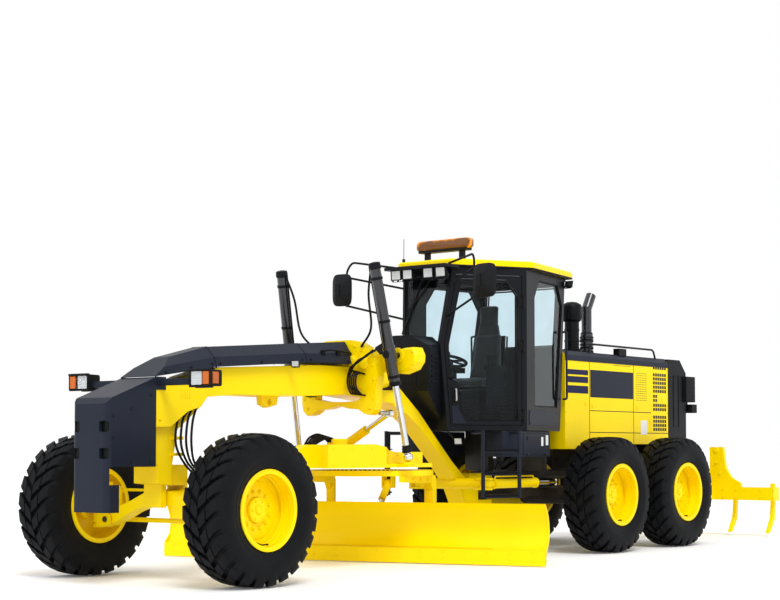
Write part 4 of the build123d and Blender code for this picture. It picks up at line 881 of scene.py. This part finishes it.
# cowl, gutter, floor mat, dash and headliner
for side in BOTH:
    def cowl(x, z, more, side=side):
        """A point on the tapered side of the cowl, moved out by a little more."""
        return x, side * (347 + (3340 + x) * 0.3275 + more), z
    s.plate([cowl(x, z, -1) for x, z in ((-3370, 1790), (-3370, 2170), (-3700, 2190), (-3700, 1560))], 4,
            (0, side, 0))
    for k in range(6):
        z = 1830 + 52 * k
        s.prism([cowl(-3440, z, 2), cowl(-3640, z, 2), cowl(-3640, z + 24, 2), cowl(-3440, z + 24, 2)],
                (0, side * 8, 0))
for y in (-250, 250):
    for z in (1800, 2000, 2170):
        s.bolt((-3340, y, z), AHEAD, 9, 6)
s.prism(across((-3340, 200, 1810), (-3340, 200, 2240)), (5, 0, 0))
s.done("cowl_louvres", "frame", REAR, bevel=3)

for side in BOTH:
    s.hose([(-3745, side * 347, 3066), (-4560, side * 832, 3066), (-5685, side * 614, 3066)], 12,
           straight=True)
for x, y in ((-3745, 347), (-5685, 614)):
    s.hose([(x, -y, 3066), (x, y, 3066)], 12, straight=True)
s.done("roof_gutter", "black", REAR)

s.prism([(-3900, -240, 1376), (-3900, 240, 1376), (-4484, 700, 1376), (-5330, 540, 1376), (-5330, -540, 1376),
         (-4484, -700, 1376)], (0, 0, 10))
s.done("floor_mat", "rubber", REAR, bevel=3)

s.rings([across((-3960, 170, 2080), (-3770, 150, 2120)), across((-3970, 180, 2170), (-3780, 150, 2210))])
s.rings([across((-4060, 110, 1500), (-3860, 110, 1500)), across((-3980, 130, 2100), (-3800, 120, 2100))])
s.done("dash", "interior", REAR, bevel=12)

s.prism([(-3870, -290, 3052), (-3870, 290, 3052), (-4484, 730, 3052), (-5560, 540, 3052), (-5560, -540, 3052),
         (-4484, -760, 3052)], (0, 0, 14))
s.both(-5150, -4700, 330, 520, 2990, 3052)
s.done("headliner", "interior", REAR, bevel=10)

# armrests, steering wheel and pedals
s.both(-4860, -4440, 275, 355, 1990, 2050)
s.both(-4700, -4480, 275, 355, 1560, 1995)
for side in BOTH:
    for k in range(4):
        x = -4470 - 45 * k
        s.bar((x, side * 315, 2045), (x + 6, side * 315, 2130), 9)
        s.lathe([(0, 1), (0, 14), (14, 20), (30, 18), (38, 8), (40, 1)], (x + 6, side * 315, 2120),
                (0.06, 0, 1), 20)
s.done("armrests", "interior", REAR, bevel=14, parts=3)

TILT_X, TILT_Z = 0.958, 0.287       # the steering wheel leans back
rim = []
for k in range(25):
    c, d = 183 * math.cos(TAU * k / 24), 183 * math.sin(TAU * k / 24)
    rim.append((-4190 + c * TILT_X, d, 2094 + c * TILT_Z))
s.hose(rim, 15, 12, 4)
s.bar((-4178, 0, 2050), (-4192, 0, 2104), 46, 40)
for k in range(3):
    a = TAU * (k + 0.25) / 3
    end = (-4190 + math.cos(a) * 175, math.sin(a) * 182, 2096 + math.cos(a) * 52)
    s.hose([(-4190, 0, 2096), end], 11, straight=True)
s.done("steering_wheel", "plastic", REAR)

for y in (-110, 110):
    s.prism([(-4030, y - 45, 1440), (-4030, y + 45, 1440), (-3930, y + 40, 1560), (-3930, y - 40, 1560)],
            (-8, 0, 6))
    s.bar((-3980, y, 1500), (-3960, y, 1400), 10)
s.done("pedals_display", "plastic", REAR, bevel=5)


def squarish(count, power):
    """Points of a unit rounded square: a circle with its sides flattened by a power."""
    for i in range(count):
        c, d = math.cos(TAU * i / count), math.sin(TAU * i / count)
        yield math.copysign(abs(c) ** power, c), math.copysign(abs(d) ** power, d)


def mirror(name, frames, head, facing, size):
    """A rear-view mirror on bent tubes from the cab's front corner."""
    head, n = Vector(head), Vector(facing).normalized()
    s = Shape()
    for points in frames:
        s.bent(points, 12, 50)
    s.done("mirror_frame_" + name, "black", REAR)
    u = Vector(UP).cross(n).normalized()
    v = n.cross(u)

    def oval(depth, a, b):
        """A rounded rectangle at a depth."""
        return [head + n * depth + u * a * c + v * b * d for c, d in squarish(32, 2 / 4.5)]
    a, b = size[0] / 2, size[1] / 2
    s.rings([oval(-92, a * 0.3, b * 0.34), oval(-84, a * 0.42, b * 0.44), oval(-30, a * 0.95, b * 0.96),
             oval(-20, a, b), oval(6, a, b), oval(8, a * 0.93, b * 0.95)])
    s.box_at(head - n * 94, v, u, (120, 40, 22))
    s.done("mirror_shell_" + name, "plastic", REAR, smooth=30)
    s.rings([oval(8.5, a * 0.9, b * 0.93), oval(10, a * 0.89, b * 0.92)])
    s.done("mirror_glass_" + name, "mirror", REAR)


mirror("left", [[(-3690, 360, 3080), (-3510, 790, 3129), (-3500, 815, 3080), (-3510, 815, 2674)],
                [(-3502, 815, 2990), (-3770, 330, 2860)], [(-3508, 815, 2690), (-3740, 300, 2540)]],
       (-3490, 960, 2846), (-1, 0.12, 0), (290, 345))
mirror("right", [[(-3690, -360, 3080), (-3700, -960, 3180), (-3640, -985, 3080), (-3640, -985, 2690)],
                 [(-3645, -975, 3010), (-3770, -310, 2860)], [(-3645, -975, 2700), (-3740, -290, 2530)]],
       (-3575, -990, 2868), (-1, -0.12, 0), (235, 350))

for k, y in enumerate((-265, -112, 158, 320)):
    work_lamp("roof_%d" % k, (-3600, y, 2985), (1, 0, -0.08), REAR, size=1.12, foot=(-3640, y, 3050))
work_lamp("sill", (-3570, 560, 1225), (0.9, 0.4, -0.2), REAR, size=0.7, foot=(-3700, 330, 1330))

# wipers and antenna
for k in (0, 1):
    s.hose([(-3808, 36 - 110 * k, 2950), (-3780, -20 - 90 * k, 2840), (-3742, -212 + 40 * k, 2610)], 7)
    s.bar((-3822, 36 - 110 * k, 2956), (-3798, 36 - 110 * k, 2950), 20)
s.box_at((-3733, -200, 2560), (0.13, -0.35, -1), AHEAD, (420, 12, 22))
s.bar((-3738, -190, 2618), (-3726, -190, 2618), 14)
s.done("wiper", "black", REAR)

s.bar((-3800, -322, 3136), (-3800, -322, 3180), 16)
s.hose([(-3800, -322, 3175), (-3806, -324, 3396)], 3.4, straight=True)
s.done("antenna", "black", REAR)

# light bar
ends = ((356, 0.5), (350, 0.72), (332, 0.9), (300, 1.0))
s.rings([[(-4107 + 58 * k * c, y, 3338 + 60 * k * d) for c, d in squarish(28, 0.6)]
         for y, k in [(-y, k) for y, k in ends] + list(reversed(ends))])
bar = s.done("beacon_lens", "beacon", REAR, smooth=50)
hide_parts("beacon")
s.block(-4160, -4054, -320, 320, 3262, 3290)
for y in (-230, 230):
    s.block(-4134, -4080, y - 26, y + 26, 3140, 3266)
    s.block(-4150, -4064, y - 40, y + 40, 3139, 3150)
s.done("beacon_base", "black", REAR, bevel=4)


# ------------------------------------------------------------------ seat cushions
def cushion(name, near, far, step, cap):
    """A stuffed pad: pressure swells a rounded block, held to a cap."""
    bm = Shape().prism(across(near, far), step).bm
    bmesh.ops.recalc_face_normals(bm, faces=bm.faces)
    for v in bm.verts:
        v.co = place(v.co)
    mesh = bpy.data.meshes.new(name)
    bm.to_mesh(mesh)
    bm.free()
    o = bpy.data.objects.new(name, mesh)
    bpy.context.scene.collection.objects.link(o)
    mesh.materials.append(MAT["cloth"])
    soften = o.modifiers.new("soften", "BEVEL")
    soften.width = 0.03
    soften.segments = 3
    rebuilt = o.modifiers.new("rebuilt", "REMESH")
    rebuilt.mode = "VOXEL"
    rebuilt.voxel_size = 0.012

    def apply():
        """Turns the modifiers into plain faces."""
        view = bpy.context.evaluated_depsgraph_get()
        fresh = bpy.data.meshes.new_from_object(o.evaluated_get(view), depsgraph=view)
        o.modifiers.clear()
        o.data = fresh
    apply()
    before = [v.co.copy() for v in o.data.vertices]
    pad = o.modifiers.new("pad", "CLOTH")
    pad.settings.use_pressure = True
    pad.settings.uniform_pressure_force = 4
    pad.settings.effector_weights.gravity = 0
    pad.point_cache.frame_end = 20
    for f in range(1, 21):
        bpy.context.scene.frame_set(f)
    apply()
    bpy.context.scene.frame_set(1)
    for v, was in zip(o.data.vertices, before):
        d = v.co - was
        if d.length > cap:
            v.co = was + d * (cap / d.length)
    round_off = o.modifiers.new("round", "SUBSURF")
    round_off.levels = round_off.render_levels = 1
    o.data.polygons.foreach_set("use_smooth", [True] * len(o.data.polygons))
    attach(o, REAR)
    return o


base = cushion("seat_cushion", (-4890, 225, 1830), (-4440, 235, 1830), (0, 0, 70), 0.02)
cushion("seat_back", (-4820, 222, 1900), (-4885, 165, 2440), (-86, 0, -8), 0.02)
cushion("seat_shoulder", (-4884, 150, 2390), (-4893, 118, 2540), (-80, 0, 0), 0.015)
cushion("head_rest", (-4890, 112, 2500), (-4902, 118, 2732), (-80, 0, 0), 0.015)
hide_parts("seat")
s.prism(across((-4880, 190, 1790), (-4480, 190, 1790)), (0, 0, 36))
for y in (-60, 60):
    s.bar((-4978, y, 2380), (-4970, y, 2600), 8)
s.prism(across((-4905, 190, 1830), (-4975, 180, 2400)), (-26, 0, 0))
for side in BOTH:
    s.hose([(-4910, side * 225, 1850), (-4935, side * 228, 2000), (-4990, side * 205, 2390)], 10)
s.done("seat_shell", "interior", REAR, bevel=9)

# ------------------------------------------------------------------ hood
s.both(-7930, -6080, HOOD_SIDE - 1, HOOD_SIDE + 1.2, 1578, 1586)
s.both(-7930, -6080, HOOD_SIDE - 1, HOOD_SIDE + 1.2, 1330, 1338)
for side in BOTH:
    for x, z0 in ((-6080, 1066), (-7086, 1206)):
        s.block(x - 4, x + 4, side * (HOOD_SIDE - 1), side * (HOOD_SIDE + 1.2), z0, 2165)
s.done("hood_seams", "black", REAR)

outline = ((-606, 2140), (-606, 2200), (-560, 2254), (560, 2254), (606, 2200), (606, 2140), (598, 2140),
           (598, 2190), (545, 2242), (-545, 2242), (-598, 2190), (-598, 2140))
s.prism([(-5560, y, z) for y, z in outline], (-2368, 0, 0))
s.done("hood_top", "charcoal", REAR, bevel=3)

for side in BOTH:
    for z, high in ((1985, 58), (1895, 70), (1775, 86)):
        s.block(-6050, -5575, side * HOOD_SIDE, side * (HOOD_SIDE + 2.5), z, z + high)
s.done("stripes", "navy", REAR)

for side in BOTH:
    # square cells, then slots: each panel is (x, columns, z, rows)
    for x0, columns, z0, rows in ((-7880, 6, 2112, 2), (-7880, 6, 1828, 5), (-7656, 2, 1716, 2),
                                  (-7880, 6, 1606, 2), (-7880, 6, 1362, 4)):
        for i in range(columns):
            for j in range(rows):
                x, z = x0 + 56 * i, z0 + 50 * j
                s.block(x, x + 42, side * HOOD_SIDE, side * (HOOD_SIDE + 2.5), z, z + 37)
    for x0, columns, z0, rows in ((-7010, 9, 2120, 3), (-7400, 6, 1724, 13)):
        for i in range(columns):
            for j in range(rows):
                x, z = x0 + 44 * i, z0 + 27 * j
                s.block(x, x + 30, side * (HOOD_SIDE - 1), side * (HOOD_SIDE + 0.8), z, z + 6)
s.done("grille_cells", "mesh", REAR)

s.both(-7076, -6096, HOOD_SIDE, HOOD_SIDE + 2, 1736, 2052)
s.done("hood_panel", "charcoal", REAR, bevel=1)

for side in BOTH:
    # one on the hood, two on the slanting front of the boxes
    for x, z, w, h in ((-7330, 1400, 150, 170), (-5080, 1240, 92, 110), (-4955, 1225, 74, 96)):
        y = HOOD_SIDE if x < -6000 else 773 + (x + 4420) * 145 / 780
        s.block(x - w / 2, x + w / 2, side * y, side * (y + 2), z - h / 2, z + h / 2)
s.done("blank_plates", "white", REAR, bevel=1)

s.both(-7912, -7500, HOOD_SIDE, HOOD_SIDE + 1.4, 1346, 2172)
for side in BOTH:
    for x, z in ((-5990, 1660), (-7780, 1745), (-7160, 1640), (-7470, 1480), (-6140, 1640)):
        s.box_at((x, side * (HOOD_SIDE + 3), z), UP, AHEAD, (46, 30, 7))
        s.bar((x, side * (HOOD_SIDE + 3), z), (x, side * (HOOD_SIDE + 10), z), 10, count=16)
s.done("hood_latches", "yellow", REAR, bevel=1.5)

for side in BOTH:
    for z in (1250, 1420, 1560, 1700, 2100):
        s.bolt((-5580, side * HOOD_SIDE, z), (0, side, 0), 8, 7)
        s.bolt((-7921, side * HOOD_SIDE, z), (0, side, 0), 6, 5)
s.done("hood_bolts", "yellow", REAR)

# radiator guard: fins at the back, side boxes and lamps
for k in range(22):
    z = 1370 + 31 * k
    s.block(-8404, -8396, -560, 560, z, z + 14)
for y in (-565, 0, 565):
    s.block(-8407, -8398, y - 14, y + 14, 1350, 2085)
s.both(-8390, -7945, HOOD_SIDE, HOOD_SIDE + 3, 1100, 1370)
for side in BOTH:
    for x in (-7990, -8120, -8250):
        s.block(x - 50, x + 50, side * HOOD_SIDE, side * (HOOD_SIDE + 6), 1420, 2060)
        s.bar((x, side * (HOOD_SIDE + 6), 2040), (x, side * (HOOD_SIDE + 11), 2040), 8)
s.done("guard_fins", "black", REAR, bevel=2)

s.both(-8400, -8330, 560, 646, 1730, 2050)
s.both(-8560, -8396, 430, 646, 1730, 2050)
s.both(-8520, -8396, 500, 560, 1600, 1730)
for side in BOTH:
    for k in range(6):
        s.block(-8540, -8410, side * 645, side * 649, 1765 + 45 * k, 1775 + 45 * k)
s.done("rear_boxes", "plastic", REAR, bevel=10, parts=3)

for side_name, side in SIDES.items():
    s.block(-8600, -8470, side * 520, side * 650, 1596, 1704)
    s.done("tail_housing_" + side_name, "plastic", REAR, bevel=6)
    s.block(-8612, -8598, side * 528, side * 642, 1654, 1698)
    s.done("tail_red_" + side_name, "red", REAR, bevel=4)
    s.block(-8612, -8598, side * 528, side * 642, 1602, 1648)
    s.done("tail_amber_" + side_name, "amber", REAR, bevel=4)
    work_lamp("tail_" + side_name, (-5660, side * 600, 3000), (-1, side * 0.3, -0.2), REAR, size=0.8,
              foot=(-5610, side * 560, 3066))

# exhaust, air cleaner, rail and caps
STACK = Vector((-6517, 300, 0))
CLEANER = Vector((-6190, 300, 0))
s.lathe([(2246, 62), (2250, 92), (2260, 96), (2274, 96), (2280, 76), (2280, 62)], STACK, UP, 40)
for z in (2330, 2420):
    s.lathe([(z, 74), (z, 79), (z + 16, 79), (z + 16, 74)], STACK, UP, 40)
s.lathe([(2492, 60), (2492, 70), (2514, 70), (2514, 60)], STACK, UP, 40)
for at in around(STACK, 74, 20):
    for z in range(2275, 2444, 42):
        s.block(at.x - 5, at.x + 5, at.y - 5, at.y + 5, z, z + 22)
s.done("exhaust_shield", "black", REAR, smooth=35)

s.lathe([(2246, 60), (2246, 112), (2262, 116), (2300, 112), (2310, 84), (2620, 84), (2630, 100), (2642, 112),
         (2800, 118), (2826, 104), (2850, 60), (2856, 4), (2860, 2), (2240, 2)], CLEANER, UP, 48)
for at in around(CLEANER, 112, 24):
    s.block(at.x - 4, at.x + 4, at.y - 4, at.y + 4, 2660, 2790)
for z in (2390, 2520):
    s.lathe([(z, 84), (z, 90), (z + 18, 90), (z + 18, 84)], CLEANER, UP, 40)
s.done("air_cleaner", "black", REAR, smooth=35)

s.both(-6960, -6790, 500, 580, 2246, 2330)
for side in BOTH:
    rail = ((-6130, 2240), (-6170, 2352), (-7640, 2352), (-7690, 2240))
    s.bent([(x, side * 560, z) for x, z in rail], 12, 50)
s.done("hood_rail", "black", REAR)

s.block(-7300, -6900, -200, 200, 2246, 2262)
s.lathe([(0, 2), (0, 60), (20, 66), (34, 60), (40, 2)], (-7700, -250, 2250), UP, 32)
s.done("hood_caps", "black", REAR, bevel=4, smooth=35)

# tandem covers and their bolts
s.both(-6700, -6290, 775, 781, 560, 760)
for side in BOTH:
    for k in range(-4, 5):
        high = 828 - abs(k) * 22
        for z in (high, 1310 - high):
            s.bolt((TANDEM_X + k * 190, side * 775, z), (0, side, 0), 9, 7)
s.done("tandem_bolts", "yellow", REAR, bevel=1.5)

# ------------------------------------------------------------------ steps and boxes
for side in BOTH:
    a, b = Vector((-3900, side * 640, 0)), Vector((-4230, side * 870, 0))
    run = (b - a).normalized()
    out = outward(run, side)
    for z in (650, 885, 1120):
        s.box_at((a + b) / 2 + Vector((0, 0, z + 16)), run, out, ((b - a).length - 30, 90, 10))
        for k in range(9):
            s.box_at(a + run * (50 + 38 * k) + Vector((0, 0, z + 23)), run, out, (10, 80, 6))
s.done("step_treads", "black", REAR, bevel=1.5)

for side in BOTH:
    d = Vector((-780, -145 * side, 0)).normalized()
    n = outward(d, side)
    mid = Vector((-4810, side * 697.5, 1198))
    s.box_at(mid + n * 1.5, d, UP, (700, 230, 5))
    s.box_at(mid + n * 6 - d * 220 + Vector((0, 0, 60)), d, UP, (60, 34, 10))
    for e in (-1, 1):
        foot = mid + d * e * 250 + n * 6 + Vector((0, 0, -112))
        s.bar(foot, foot + d * 50, 9)
s.done("box_lids", "charcoal", REAR, bevel=3)

# ------------------------------------------------------------------ articulation, axle and ripper details
for side_name, side in SIDES.items():
    f, d = Vector((-4192, side * 500, 775)), Vector((-1, 0, 0))
    s.lathe([(880, 50), (884, 58), (900, 58), (906, 50), (908, 27), (880, 27)], f, d, 36)
    s.lathe([(88, 34), (92, 56), (108, 56), (112, 50)], f, d, 36)
    s.bent([f + d * x + Vector((0, 0, z)) for x, z in ((130, 50), (130, 76), (860, 76), (860, 50))], 8, 20)
    s.done("articulation_gland_" + side_name, "yellow", "articulation_tube_" + side_name, smooth=35)
for z, n in ((880, 1), (536, -1)):
    s.lathe([(0, 4), (0, 70), (n * 14, 66), (n * 18, 4)], (HINGE_X, 0, z), UP, 40)
    for at in around((HINGE_X, 0, z + n * 15), 50, 6):
        s.bolt(at, (0, 0, n), 8, 8)
s.done("hinge_caps", "steel", REAR, smooth=35)

for side in BOTH:
    s.bar((84, side * 680, 520), (98, side * 680, 520), 26, count=24)
s.done("axle_caps", "steel", FRONT)

for side in BOTH:
    s.bar((-8520, side * 334, 560), (-8520, side * 348, 560), 46, count=28)
for k in range(-2, 3):
    for z in (505, 605):
        for y in (-90, 90):
            s.bolt((RIPPER_FACE, k * 534 + y, z), AHEAD, 13, 10)
s.both(-9882, -9698, 1150, 1158, 466, 644)
for side in BOTH:
    for z in (1110, 960, 820):
        s.bolt((RIPPER_FACE, side * (350 if z > 900 else 400), z), AHEAD, 20, 14)
    s.bar((-9772, side * 350, 1130), (-9688, side * 350, 1130), 38, count=28)
s.done("ripper_bolts", "yellow", "ripper", bevel=2, smooth=35)

for k in (0, 1):
    s.hose([(-8436, -190 - 34 * k, 1160), (-8500, -196 - 34 * k, 1190), (-8552, -160 - 20 * k, 1262 + 12 * k),
            (-8526, -68, 1282 + 22 * k)], 10)
s.done("ripper_hoses", "rubber", REAR)


# ------------------------------------------------------------------ floor, light and camera
def floor():
    """A wide, nearly white floor."""
    m = Look("studio_floor")
    m.ramp(m.noise(0.6, 3.0), [(0.3, (0.93, 0.93, 0.93)), (0.7, (0.95, 0.95, 0.95))])
    put(m.shader, {"Roughness": 0.9, "Specular IOR Level": 0.1, "Emission Color": (1, 1, 1, 1),
                   "Emission Strength": 0.06})
    mesh = bpy.data.meshes.new("floor")
    r = 400
    mesh.from_pydata([(-r, -r, 0), (r, -r, 0), (r, r, 0), (-r, r, 0)], [], [(0, 1, 2, 3)])
    o = bpy.data.objects.new("floor", mesh)
    bpy.context.scene.collection.objects.link(o)
    mesh.materials.append(m.material)


floor()

world = bpy.data.worlds.new("studio")
bpy.context.scene.world = world
world.use_nodes = True
wn, wl = world.node_tree.nodes, world.node_tree.links
wn.clear()
w_out = wn.new("ShaderNodeOutputWorld")
w_mix = wn.new("ShaderNodeMixShader")
plain = wn.new("ShaderNodeBackground")
put(plain, {"Color": (1, 1, 1, 1), "Strength": 0.8})
seen = wn.new("ShaderNodeBackground")
put(seen, {"Color": (1, 1, 1, 1), "Strength": 1.0})
# the brighter world is what the camera sees, plainly, mirrored or through glass
rays = wn.new("ShaderNodeLightPath")
either = None
for key in ("Is Camera Ray", "Is Glossy Ray", "Is Transmission Ray"):
    if either is None:
        either = rays.outputs[key]
        continue
    top = wn.new("ShaderNodeMath")
    top.operation = "MAXIMUM"
    wl.new(either, top.inputs[0])
    wl.new(rays.outputs[key], top.inputs[1])
    either = top.outputs[0]
wl.new(either, w_mix.inputs[0])
wl.new(plain.outputs[0], w_mix.inputs[1])
wl.new(seen.outputs[0], w_mix.inputs[2])
wl.new(w_mix.outputs[0], w_out.inputs[0])


def sun(name, direction, strength, spread):
    """A sun that shines along a direction, softened by a spread in degrees."""
    lamp = bpy.data.lights.new(name, "SUN")
    lamp.energy = strength
    lamp.angle = math.radians(spread)
    o = bpy.data.objects.new(name, lamp)
    bpy.context.scene.collection.objects.link(o)
    o.rotation_euler = Vector(direction).to_track_quat("-Z", "Y").to_euler()


sun("key", (-0.45, -0.62, -0.95), 1.7, 24)
sun("fill", (-0.9, 0.25, -0.5), 0.5, 60)

CAMERA_AT = (9838.6, 10268.5, 1154.3)
YAW, PITCH = math.radians(218.32), math.radians(2.483)
camera = bpy.data.cameras.new("camera")
camera.lens = 74.506            # millimetres
camera.sensor_width = 36
camera.shift_y = 0.10
camera.clip_end = 2000
cam = bpy.data.objects.new("camera", camera)
bpy.context.scene.collection.objects.link(cam)
cam.location = place(CAMERA_AT)
aim = Vector((math.cos(YAW) * math.cos(PITCH), math.sin(YAW) * math.cos(PITCH), math.sin(PITCH)))
cam.rotation_euler = aim.to_track_quat("-Z", "Y").to_euler()
bpy.context.scene.camera = cam
bpy.context.scene.view_settings.view_transform = "Standard"
